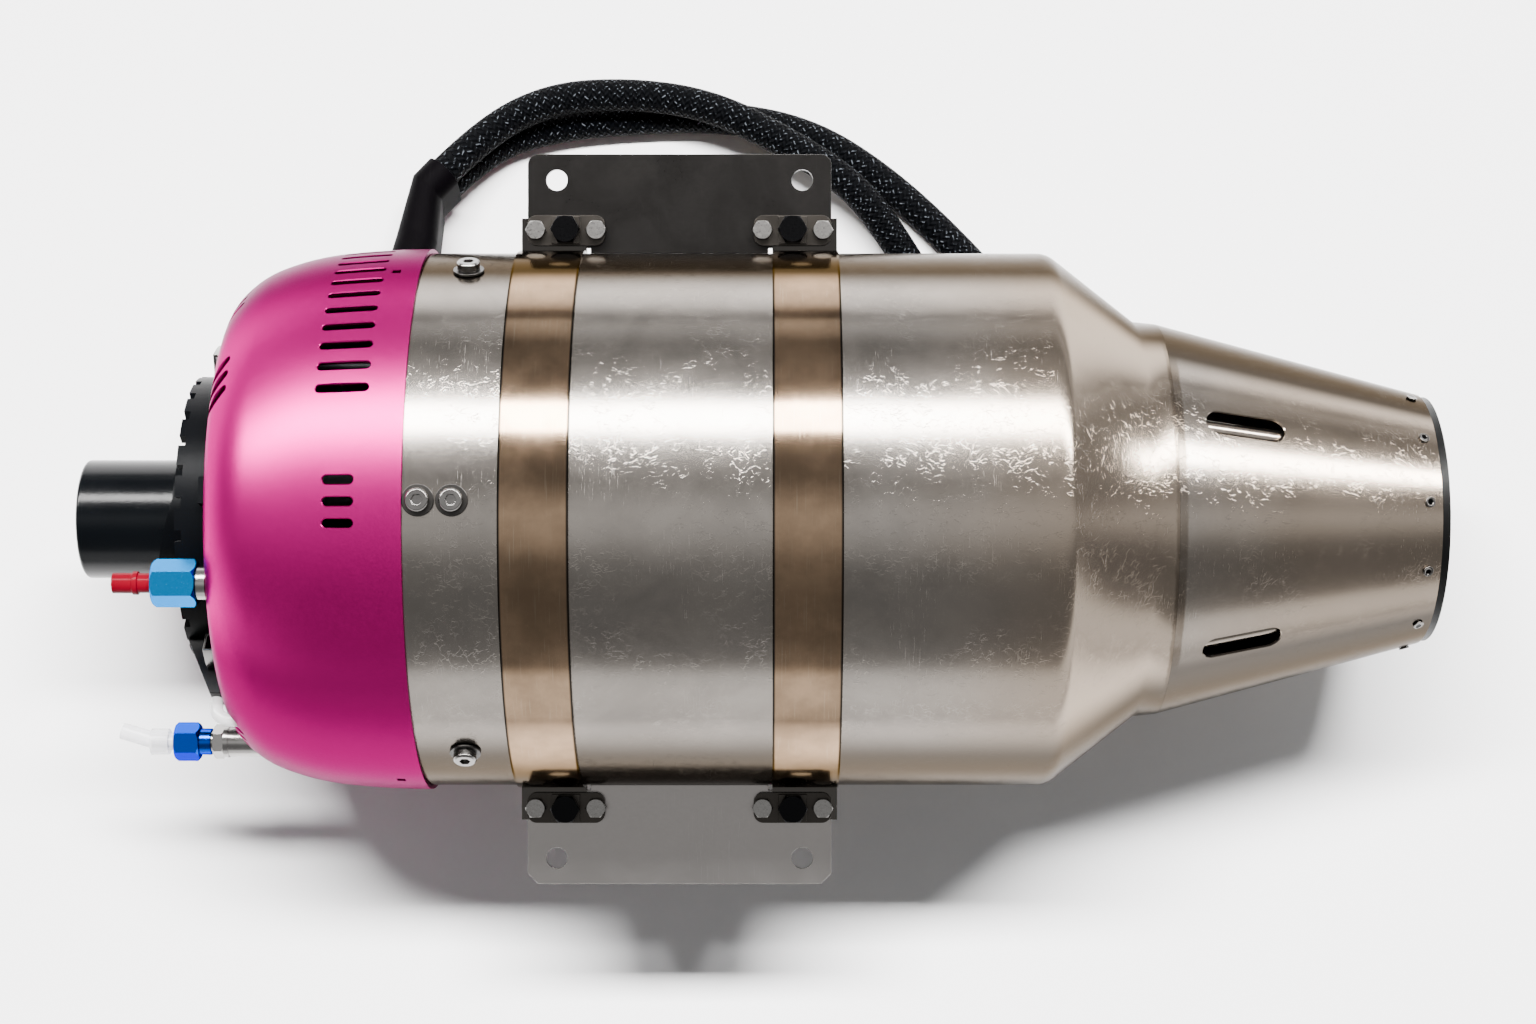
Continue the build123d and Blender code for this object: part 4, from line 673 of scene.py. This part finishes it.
def settle(piece, node, finish):
    """Gives the piece its material and body, and lets it stand for its CAD node."""
    piece.data.materials.clear()
    piece.data.materials.append(finish)
    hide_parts(node)
    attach(piece, frame["nodes"][node]["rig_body"])
    return piece


def merged_copy(node):
    """A copy of a CAD node's mesh with its corners joined and its flat faces whole."""
    source = frame["nodes"][node]
    piece = bpy.data.objects.new(node + ".look", source.data.copy())
    bpy.context.scene.collection.objects.link(piece)
    activate(piece)
    bpy.ops.object.mode_set(mode="EDIT")
    bpy.ops.mesh.select_all(action="SELECT")
    bpy.ops.mesh.remove_doubles(threshold=COPY_MERGE)
    bpy.ops.mesh.dissolve_limited(angle_limit=FLAT_ANGLE)
    bpy.ops.object.mode_set(mode="OBJECT")
    return piece


def dress(node, finish, softness=0.0):
    """Shows a CAD node as a smooth copy with softened edges."""
    piece = merged_copy(node)
    smooth(piece, softness)
    return settle(piece, node, finish)


def paint(finish, *nodes):
    """Gives CAD nodes that show as they are their material."""
    for node in nodes:
        for place in frame["nodes"][node].material_slots:
            place.material = finish


def rounded(outline, index, radius, steps=8):
    """The outline with one of its corners replaced by an arc."""
    corner = Vector(outline[index])
    arrive = (Vector(outline[index - 1]) - corner).normalized()
    leave = (Vector(outline[(index + 1) % len(outline)]) - corner).normalized()
    half = arrive.angle(leave) / 2
    centre = corner + (arrive + leave).normalized() * (radius / math.sin(half))
    reach = radius / math.tan(half)
    start = corner + arrive * reach - centre
    end = corner + leave * reach - centre
    arc = [centre + start.lerp(end, k / steps).normalized() * radius for k in range(steps + 1)]
    return outline[:index] + [tuple(point) for point in arc] + outline[index + 1 :]


def turn(name, outline):
    """Turns a closed (station, radius) outline, in millimetres, about the thrust axis."""
    deselect()
    station, radius = outline[0]
    bpy.ops.mesh.primitive_circle_add(
        vertices=TURNING_STEPS,
        radius=radius * MM,
        location=(station * MM, 0, 0),
        rotation=(0, math.pi / 2, 0),
    )
    piece = bpy.context.object
    piece.name = name
    bpy.ops.object.transform_apply(location=True, rotation=True, scale=True)
    bpy.ops.object.mode_set(mode="EDIT")
    bpy.ops.mesh.select_all(action="SELECT")
    for before, after in zip(outline, outline[1:] + outline[:1]):
        move = ((after[0] - before[0]) * MM, 0, 0)
        bpy.ops.mesh.extrude_edges_move(TRANSFORM_OT_translate={"value": move})
        factor = after[1] / before[1]
        bpy.ops.transform.resize(value=(1, factor, factor), center_override=(after[0] * MM, 0, 0))
    bpy.ops.mesh.select_all(action="SELECT")
    bpy.ops.mesh.remove_doubles(threshold=TURNED_MERGE)
    bpy.ops.mesh.normals_make_consistent(inside=False)
    bpy.ops.object.mode_set(mode="OBJECT")
    return piece


def slot_cutters(slots, flare, sides=32):
    """Cutters for a set of like slots: straight inside, with a funnel at the outer surface."""
    (station, circle, length, width, tilt, skew), angles = slots
    radius = width / 2 / math.cos(math.pi / sides)
    half = (length - width) / 2 * MM
    cutters = []
    for angle in angles:
        deselect()
        bpy.ops.mesh.primitive_cone_add(
            vertices=sides,
            radius1=radius * MM,
            radius2=(radius + 2 * flare) * MM,
            depth=2 * flare * MM,
        )
        cutter = bpy.context.object
        bpy.ops.object.mode_set(mode="EDIT")
        bpy.ops.mesh.select_mode(type="FACE")
        bpy.ops.mesh.select_all(action="DESELECT")
        bpy.ops.object.mode_set(mode="OBJECT")
        for face in cutter.data.polygons:
            face.select = face.normal.z < -0.9
        bpy.ops.object.mode_set(mode="EDIT")
        down = (0, 0, -CUT_DEPTH * MM)
        bpy.ops.mesh.extrude_region_move(TRANSFORM_OT_translate={"value": down})
        bpy.ops.object.mode_set(mode="OBJECT")
        cutter.data.transform(Matrix.Rotation(math.pi / sides, 4, "Z"))
        for vertex in cutter.data.vertices:
            vertex.co.x += math.copysign(half, vertex.co.x)
        place = Matrix.Rotation(-math.radians(angle), 4, "X")
        place @= Matrix.Translation((station * MM, 0, circle * MM))
        place @= Matrix.Rotation(-math.radians(tilt), 4, "Y")
        place @= Matrix.Rotation(math.radians(skew), 4, "Z")
        cutter.data.transform(place)
        cutters.append(cutter)
    activate(cutters[0])
    for cutter in cutters[1:]:
        cutter.select_set(True)
    bpy.ops.object.join()
    return bpy.context.object


def cut_slots(piece, slots, flare, sides=32):
    """Cuts slots right through a piece and breaks their outer edges."""
    cutter = slot_cutters(slots, flare, sides)
    boolean = piece.modifiers.new("cut", "BOOLEAN")
    boolean.operation = "DIFFERENCE"
    boolean.solver = "EXACT"
    boolean.object = cutter
    apply_all(piece)
    bpy.data.objects.remove(cutter, do_unlink=True)


def dome_points(corners, inset, steps):
    """Points of tangent arcs that start along the axis and pass through the corners."""
    heading = 0.0
    points = []
    for before, after in zip(corners, corners[1:]):
        chord = math.atan2(before[1] - after[1], before[0] - after[0])
        bend = 2 * (chord - heading)
        radius = math.dist(before, after) / (2 * math.sin(bend / 2))
        x = before[0] + radius * math.sin(heading)
        y = before[1] - radius * math.cos(heading)
        reach = radius - inset
        for k in range(steps):
            angle = heading + bend * k / steps
            points.append((x - reach * math.sin(angle), y + reach * math.cos(angle)))
        heading += bend
    last = corners[-1]
    points.append((last[0] + inset * math.sin(heading), last[1] - inset * math.cos(heading)))
    return points


def cable_curve(name, route, diameter, finish):
    """A round cable that follows its route as one smooth curve."""
    curve = bpy.data.curves.new(name, "CURVE")
    curve.dimensions = "3D"
    curve.bevel_depth = diameter / 2
    curve.bevel_resolution = 8
    curve.resolution_u = 10
    curve.use_fill_caps = True
    spline = curve.splines.new("NURBS")
    spline.points.add(len(route) - 1)
    for point, corner in zip(spline.points, route):
        point.co = (corner[0] * MM, corner[1] * MM, corner[2] * MM, 1)
    spline.order_u = 3
    spline.use_endpoint_u = True
    piece = bpy.data.objects.new(name, curve)
    bpy.context.scene.collection.objects.link(piece)
    curve.materials.append(finish)
    return piece


def soft_box(name, power, size, place, lean):
    """A rectangular lamp, placed and turned by angles from straight above towards +Y."""
    lamp = bpy.data.lights.new(name, "AREA")
    lamp.shape = "RECTANGLE"
    lamp.size, lamp.size_y = size
    lamp.energy = power
    lamp.color = LAMP_COLOUR
    holder = bpy.data.objects.new(name, lamp)
    holder.location = (0, LAMP_DISTANCE * math.sin(place), LAMP_DISTANCE * math.cos(place))
    holder.rotation_euler = (-lean, 0, 0)
    bpy.context.scene.collection.objects.link(holder)
    return holder


# Settings that a user may change


def length_setting(name, description, default):
    return bpy.props.FloatProperty(
        name=name,
        description=description,
        default=default,
        min=0.0,
        subtype="DISTANCE",
        unit="LENGTH",
    )


def colour_setting(name, description, default):
    return bpy.props.FloatVectorProperty(
        name=name,
        description=description,
        default=default,
        min=0.0,
        max=1.0,
        size=3,
        subtype="COLOR",
    )


def power_setting(name, description, default):
    return bpy.props.FloatProperty(
        name=name,
        description=description,
        default=default,
        min=0.0,
        unit="POWER",
    )


def angle_setting(name, description, degrees):
    return bpy.props.FloatProperty(
        name=name,
        description=description,
        default=math.radians(degrees),
        subtype="ANGLE",
        unit="ROTATION",
    )


class EngineSettings(bpy.types.PropertyGroup):
    cable_diameter: length_setting("Cable diameter", "Outside diameter of both cables", 0.0106)
    power_length: length_setting("Power cable", "Length of the upper cable along its axis", 0.3188)
    data_length: length_setting("Data cable", "Length of the lower cable along its axis", 0.2988)
    plate_edge: length_setting("Plate edge", "Rounding of sheet edges", 0.00045)
    metal_edge: length_setting("Metal edge", "Rounding of turned and milled edges", 0.0002)
    head_edge: length_setting("Head edge", "Rounding of the heads of the clamp bolts", 0.00045)
    vent_edge: length_setting("Vent edge", "Broken edge of the vents in the cover", 0.0003)
    cover_colour: colour_setting("Cover", "Dye of the front cover", (0.5, 0.004, 0.18))
    steel_colour: colour_setting("Steel", "Casing and nozzle", (0.275, 0.25, 0.225))
    band_colour: colour_setting("Bands", "Clamp bands", (0.27, 0.185, 0.12))
    bracket_colour: colour_setting("Brackets", "Mounting brackets", (0.05, 0.047, 0.045))
    nut_colour: colour_setting("Fuel nut", "Anodised fuel nut", (0.0, 0.2, 0.5))
    low_nut_colour: colour_setting("Gas nut", "Anodised gas nut", (0.0, 0.055, 0.42))
    cap_colour: colour_setting("Cap", "Dust cap of the fuel fitting", (0.085, 0.0003, 0.005))


class StudioSettings(bpy.types.PropertyGroup):
    sky: bpy.props.FloatProperty(
        name="Sky",
        description="Strength of the light from all round",
        default=1.0,
        min=0.0,
    )
    key: power_setting("Strip", "Power of the strip that makes the highlights", 330.0)
    key_angle: angle_setting("Strip angle", "Angle of the strip from straight above", 42.0)
    fill: power_setting("Overhead", "Power of the box that lights the floor", 330.0)
    fill_angle: angle_setting("Overhead angle", "Angle of the box from straight above", 25.0)
    floor_colour: colour_setting("Floor", "Pale surface under the engine", (0.9, 0.9, 0.915))


LOOKS = {
    "casing": lambda name, s: rolled_steel(name, s.steel_colour, 0.06, 0.8, 0.68),
    "nozzle": lambda name, s: rolled_steel(name, s.steel_colour, 0.13, 0.72, 0.58),
    "cover": lambda name, s: anodised(name, s.cover_colour, 1500, 0.34, (0.62, 0.42, 0.52), True),
    "band": lambda name, s: polished_band(name, s.band_colour),
    # One steel for both brackets, with painted shade on the left one and painted light on the
    # right one
    "left_bracket": lambda name, s: satin_plate(name, shade(s.bracket_colour, 0.42), 0.29, 0.34),
    "right_bracket": lambda name, s: satin_plate(name, shade(s.bracket_colour, 5.6), 0.3, 0.36),
    "ear_plate": lambda name, s: satin_plate(name, (0.04, 0.036, 0.032), 0.3, 0.45),
    "clamp_bolt": lambda name, s: bolt_steel(name, (0.2, 0.194, 0.186), (0.006, 0.006, 0.0065)),
    "washer": lambda name, s: bright_metal(name, (0.04, 0.038, 0.036), 0.3),
    "screw": lambda name, s: bright_metal(name, (0.2, 0.192, 0.185), 0.14),
    "rivet": lambda name, s: rivet_steel(name, (0.13, 0.122, 0.114)),
    "tube_steel": lambda name, s: bright_metal(name, (0.3, 0.29, 0.28), 0.14),
    "strip_steel": lambda name, s: bright_metal(name, (0.3, 0.26, 0.22), 0.14),
    "bare_alloy": lambda name, s: cast_alloy(name, (0.3, 0.3, 0.31)),
    "dark_alloy": lambda name, s: cast_alloy(name, (0.012, 0.012, 0.013)),
    "milled_wheel": lambda name, s: bright_metal(name, (0.34, 0.34, 0.35), 0.22),
    "ground_steel": lambda name, s: bright_metal(name, (0.28, 0.27, 0.26), 0.2),
    "burnt_metal": lambda name, s: burnt_alloy(name, (0.2, 0.175, 0.155)),
    "can_paint": lambda name, s: moulded(name, (0.0006, 0.0009, 0.0013), 0.18, 1200, shine=0.16),
    "guard_paint": lambda name, s: moulded(name, (0.001, 0.0012, 0.0016), 0.36, 1000, shine=0.04),
    "plug_shell": lambda name, s: moulded(name, (0.001, 0.001, 0.0012), 0.38, shine=0.08),
    "ring_paint": lambda name, s: moulded(name, (0.001, 0.001, 0.001), 0.4, shine=0.12),
    "boot_rubber": lambda name, s: moulded(name, (0.0007, 0.0005, 0.0008), 0.5, 700, shine=0.012),
    "azure_nut": lambda name, s: anodised(name, s.nut_colour, 1800, 0.24, (0.0, 0.25, 0.45)),
    "blue_nut": lambda name, s: anodised(name, s.low_nut_colour, 1800, 0.2, (0.0, 0.1, 0.4)),
    "cap_plastic": lambda name, s: moulded(name, s.cap_colour, 0.2, 500, shine=0.04),
    "clear_cap": lambda name, s: clear_plastic(name, (0.62, 0.62, 0.65)),
    "clear_sleeve": lambda name, s: clear_plastic(name, (0.5, 0.5, 0.5)),
    "circuit_board": lambda name, s: moulded(name, (0.001, 0.012, 0.005), 0.35, 500, 0.1),
    "motor_magnet": lambda name, s: moulded(name, (0.03, 0.03, 0.033), 0.4, 800, metal=0.4),
    "power_braid": lambda name, s: braided(name, s.power_length, s.cable_diameter),
    "data_braid": lambda name, s: braided(name, s.data_length, s.cable_diameter),
}


def look(name):
    """The material of that name, made when it is first asked for."""
    label = "look_" + name
    made = bpy.data.materials.get(label)
    return made or LOOKS[name](label, bpy.context.scene.turbojet_engine)


class TURBOJET_OT_stage(bpy.types.Operator):
    """Add the pale floor, the studio light and the camera"""

    bl_idname = "turbojet.stage"
    bl_label = "Stage"
    bl_options = {"REGISTER", "UNDO"}

    def execute(self, context):
        studio = context.scene.turbojet_studio
        deselect()
        bpy.ops.mesh.primitive_plane_add(size=FLOOR_SIZE, location=(0, 0, FLOOR))
        floor = context.object
        floor.name = "floor"
        bpy.ops.object.transform_apply(location=True)
        floor.data.materials.append(pale_floor("floor", studio.floor_colour))

        world = bpy.data.worlds.new("studio")
        context.scene.world = world
        s = Sheet(world)
        _, y, z = s.split(s.place("Generated"))
        around = s.math("ARCTAN2", y, z) / (2 * math.pi) + 0.5
        stops = [(0.5 + angle / 360, level / PANEL_PEAK) for angle, level in PANELS]
        rays = s.put("ShaderNodeLightPath").socket.node.outputs
        mirrored = Value(s, rays["Is Glossy Ray"])
        seen = Value(s, rays["Is Camera Ray"])
        # Polished metal mirrors the panels, the camera sees a bright wall, the rest gets little
        light = s.mix((0.25, 0.25, 0.25, 1), s.ramp(around, *stops), mirrored)
        share = MATT_LIGHT + mirrored * (1 - MATT_LIGHT) + seen * WALL_LIGHT
        strength = share * (studio.sky * PANEL_PEAK)
        sky = s.put("ShaderNodeBackground", None, {"Color": light, "Strength": strength})
        s.put("ShaderNodeOutputWorld", None, {0: sky})

        # The strip makes the long highlight, the overhead box lights the floor
        strip = soft_box("strip", studio.key, STRIP_SIZE, studio.key_angle, studio.key_angle)
        strip.visible_diffuse = False
        lean = studio.fill_angle + OVERHEAD_LEAN
        overhead = soft_box("overhead", studio.fill, OVERHEAD_SIZE, studio.fill_angle, lean)
        overhead.visible_glossy = False

        camera = bpy.data.cameras.new("camera")
        camera.lens = CAMERA_LENS
        camera.sensor_width = CAMERA_SENSOR
        camera.clip_start = 0.01
        holder = bpy.data.objects.new("camera", camera)
        holder.location = CAMERA_PLACE
        context.scene.collection.objects.link(holder)
        context.scene.camera = holder
        return {"FINISHED"}


class TURBOJET_OT_cables(bpy.types.Operator):
    """Lay the two braided cables with their boot and connectors"""

    bl_idname = "turbojet.cables"
    bl_label = "Cables and boot"
    bl_options = {"REGISTER", "UNDO"}

    def execute(self, context):
        s = context.scene.turbojet_engine
        cables = (
            ("power", POWER_ROUTE, s.power_length, "medium"),
            ("data", DATA_ROUTE, s.data_length, "limp"),
        )
        for kind, route, length, stiffness in cables:
            node = kind + "_cable"
            braid = look(kind + "_braid")
            cable = cable_curve(node + ".braid", route, s.cable_diameter, braid)
            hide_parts(node)
            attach(cable, "engine")
            connector = dress(kind + "_connector", look("plug_shell"), s.metal_edge)
        dress("cable_boot", look("boot_rubber"), s.metal_edge)
        return {"FINISHED"}


class TURBOJET_OT_cover(bpy.types.Operator):
    """Turn the front cover and cut its vents"""

    bl_idname = "turbojet.cover"
    bl_label = "Front cover"
    bl_options = {"REGISTER", "UNDO"}

    def execute(self, context):
        s = context.scene.turbojet_engine
        outside = dome_points(COVER_CORNERS, 0, COVER_ARC_STEPS)
        inside = dome_points(COVER_CORNERS, COVER_WALL, COVER_ARC_STEPS)
        mouth = [(COVER_CORNERS[-1][0], COVER_MOUTH), (inside[-1][0], COVER_MOUTH)]
        cover = turn("front_cover.look", outside + mouth + inside[::-1])
        flare = s.vent_edge / MM
        for slots in (LONG_VENTS, SHORT_VENTS, SHOULDER_VENTS):
            cut_slots(cover, slots, flare)
        cut_slots(cover, WINDOWS, flare / 3, sides=4)
        smooth(cover)
        settle(cover, "front_cover", look("cover"))
        return {"FINISHED"}


class TURBOJET_OT_casing(bpy.types.Operator):
    """Turn the outer casing and add its screws and washers"""

    bl_idname = "turbojet.casing"
    bl_label = "Outer casing"
    bl_options = {"REGISTER", "UNDO"}

    def execute(self, context):
        s = context.scene.turbojet_engine
        outline = rounded(CASING_OUTLINE, 6, CASING_SHOULDER - CASING_WALL)
        outline = rounded(outline, 1, CASING_SHOULDER)
        casing = turn("outer_casing.look", outline)
        smooth(casing)
        settle(casing, "outer_casing", look("casing"))
        dress("casing_screws", look("screw"), s.metal_edge)
        dress("casing_washers", look("washer"), s.metal_edge)
        return {"FINISHED"}


class TURBOJET_OT_nozzle(bpy.types.Operator):
    """Turn the nozzle shell, cut its slots and add what is behind them"""

    bl_idname = "turbojet.nozzle"
    bl_label = "Exhaust nozzle"
    bl_options = {"REGISTER", "UNDO"}

    def execute(self, context):
        s = context.scene.turbojet_engine
        shell = turn("nozzle_shell.look", SHELL_OUTLINE)
        cut_slots(shell, SHELL_SLOTS, s.vent_edge / MM)
        smooth(shell)
        settle(shell, "nozzle_shell", look("nozzle"))
        dress("nozzle_struts", look("strip_steel"), s.metal_edge)
        dress("nozzle_rivets", look("rivet"), s.metal_edge)
        dress("rim_ring", look("ring_paint"), s.metal_edge)
        dress("jet_pipe", look("burnt_metal"))
        dress("tail_cone", look("burnt_metal"), s.metal_edge)
        dress("rear_bulkhead", look("burnt_metal"))
        return {"FINISHED"}


class TURBOJET_OT_bands(bpy.types.Operator):
    """Add the halves of both clamp bands"""

    bl_idname = "turbojet.bands"
    bl_label = "Clamp bands"
    bl_options = {"REGISTER", "UNDO"}

    def execute(self, context):
        s = context.scene.turbojet_engine
        for place in ("front", "rear"):
            for half in ("upper", "lower"):
                dress(place + "_band_" + half, look("band"), s.metal_edge)
        return {"FINISHED"}


class TURBOJET_OT_brackets(bpy.types.Operator):
    """Add the mounting brackets with their clamp plates, bolts and nuts"""

    bl_idname = "turbojet.brackets"
    bl_label = "Mounting brackets"
    bl_options = {"REGISTER", "UNDO"}

    def execute(self, context):
        s = context.scene.turbojet_engine
        for node, finish, softness in (
            ("left_mount_bracket", "left_bracket", s.plate_edge),
            ("right_mount_bracket", "right_bracket", s.plate_edge),
            ("clamp_plates", "ear_plate", s.plate_edge),
            ("clamp_bolts", "clamp_bolt", s.head_edge),
            ("clamp_nuts", "clamp_bolt", s.metal_edge),
        ):
            dress(node, look(finish), softness)
        return {"FINISHED"}


class TURBOJET_OT_starter(bpy.types.Operator):
    """Add the starter motor, its holder with the guard ring, and its leads"""

    bl_idname = "turbojet.starter"
    bl_label = "Starter"
    bl_options = {"REGISTER", "UNDO"}

    def execute(self, context):
        s = context.scene.turbojet_engine
        dress("starter_housing", look("can_paint"), s.plate_edge)
        for node, finish in (
            ("starter_holder", "guard_paint"),
            ("starter_end_cap", "bare_alloy"),
            ("starter_armature", "ground_steel"),
            ("clutch_cup", "bare_alloy"),
            ("lead_channel", "plug_shell"),
            ("lead_sleeve", "clear_sleeve"),
        ):
            dress(node, look(finish), s.metal_edge)
        paint(look("motor_magnet"), "starter_magnets")
        return {"FINISHED"}


class TURBOJET_OT_fittings(bpy.types.Operator):
    """Add the fuel and starting gas fittings with their nuts and caps"""

    bl_idname = "turbojet.fittings"
    bl_label = "Fittings"
    bl_options = {"REGISTER", "UNDO"}

    def execute(self, context):
        s = context.scene.turbojet_engine
        for node, finish in (
            ("fuel_fitting", "tube_steel"),
            ("gas_fitting", "tube_steel"),
            ("fuel_nut", "azure_nut"),
            ("gas_nut", "blue_nut"),
            ("fuel_cap", "cap_plastic"),
            ("gas_cap", "clear_cap"),
        ):
            dress(node, look(finish), s.metal_edge)
        return {"FINISHED"}


class TURBOJET_OT_intake(bpy.types.Operator):
    """Add the bellmouth, the clips, the compressor wheel and the board behind the vents"""

    bl_idname = "turbojet.intake"
    bl_label = "Intake"
    bl_options = {"REGISTER", "UNDO"}

    def execute(self, context):
        s = context.scene.turbojet_engine
        dress("intake_bellmouth", look("dark_alloy"))
        dress("cover_clips", look("screw"), s.metal_edge)
        dress("compressor_wheel", look("milled_wheel"))
        dress("spinner_nut", look("milled_wheel"), s.metal_edge)
        paint(look("circuit_board"), "control_board")
        return {"FINISHED"}


class TURBOJET_OT_insides(bpy.types.Operator):
    """Finish the pieces inside the casing"""

    bl_idname = "turbojet.insides"
    bl_label = "Inner pieces"
    bl_options = {"REGISTER", "UNDO"}

    def execute(self, context):
        dress("turbine_wheel", look("burnt_metal"))
        paint(look("bare_alloy"), "diffuser", "shaft_tunnel")
        paint(
            look("ground_steel"),
            "shaft",
            "turbine_nut",
            "preload_springs",
            "glow_plug",
            "bearing_inner_rings",
            "bearing_outer_rings",
            "fuel_manifold",
            "fuel_line",
            "gas_line",
        )
        paint(
            look("burnt_metal"),
            "combustor_outer_liner",
            "combustor_inner_liner",
            "vaporiser_tubes",
            "nozzle_guide_vanes",
        )
        return {"FINISHED"}


PIECES = (
    TURBOJET_OT_cables,
    TURBOJET_OT_cover,
    TURBOJET_OT_casing,
    TURBOJET_OT_nozzle,
    TURBOJET_OT_bands,
    TURBOJET_OT_brackets,
    TURBOJET_OT_starter,
    TURBOJET_OT_fittings,
    TURBOJET_OT_intake,
    TURBOJET_OT_insides,
    TURBOJET_OT_stage,
)


class TURBOJET_PT_panel(bpy.types.Panel):
    """Lists the pieces of the engine and their settings"""

    bl_label = "Turbojet"
    bl_idname = "TURBOJET_PT_panel"
    bl_space_type = "VIEW_3D"
    bl_region_type = "UI"
    bl_category = "Turbojet"

    def draw(self, context):
        for piece in PIECES:
            self.layout.operator(piece.bl_idname)
        for settings in (context.scene.turbojet_engine, context.scene.turbojet_studio):
            box = self.layout.box()
            for name in settings.__annotations__:
                box.prop(settings, name)


CLASSES = (EngineSettings, StudioSettings, *PIECES, TURBOJET_PT_panel)


def register():
    for part in CLASSES:
        bpy.utils.register_class(part)
    bpy.types.Scene.turbojet_engine = bpy.props.PointerProperty(type=EngineSettings)
    bpy.types.Scene.turbojet_studio = bpy.props.PointerProperty(type=StudioSettings)


def unregister():
    del bpy.types.Scene.turbojet_studio
    del bpy.types.Scene.turbojet_engine
    for part in reversed(CLASSES):
        bpy.utils.unregister_class(part)


def main():
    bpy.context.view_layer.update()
    register()
    for piece in PIECES:
        group, name = piece.bl_idname.split(".")
        getattr(getattr(bpy.ops, group), name)()


if __name__ == "__main__":
    main()
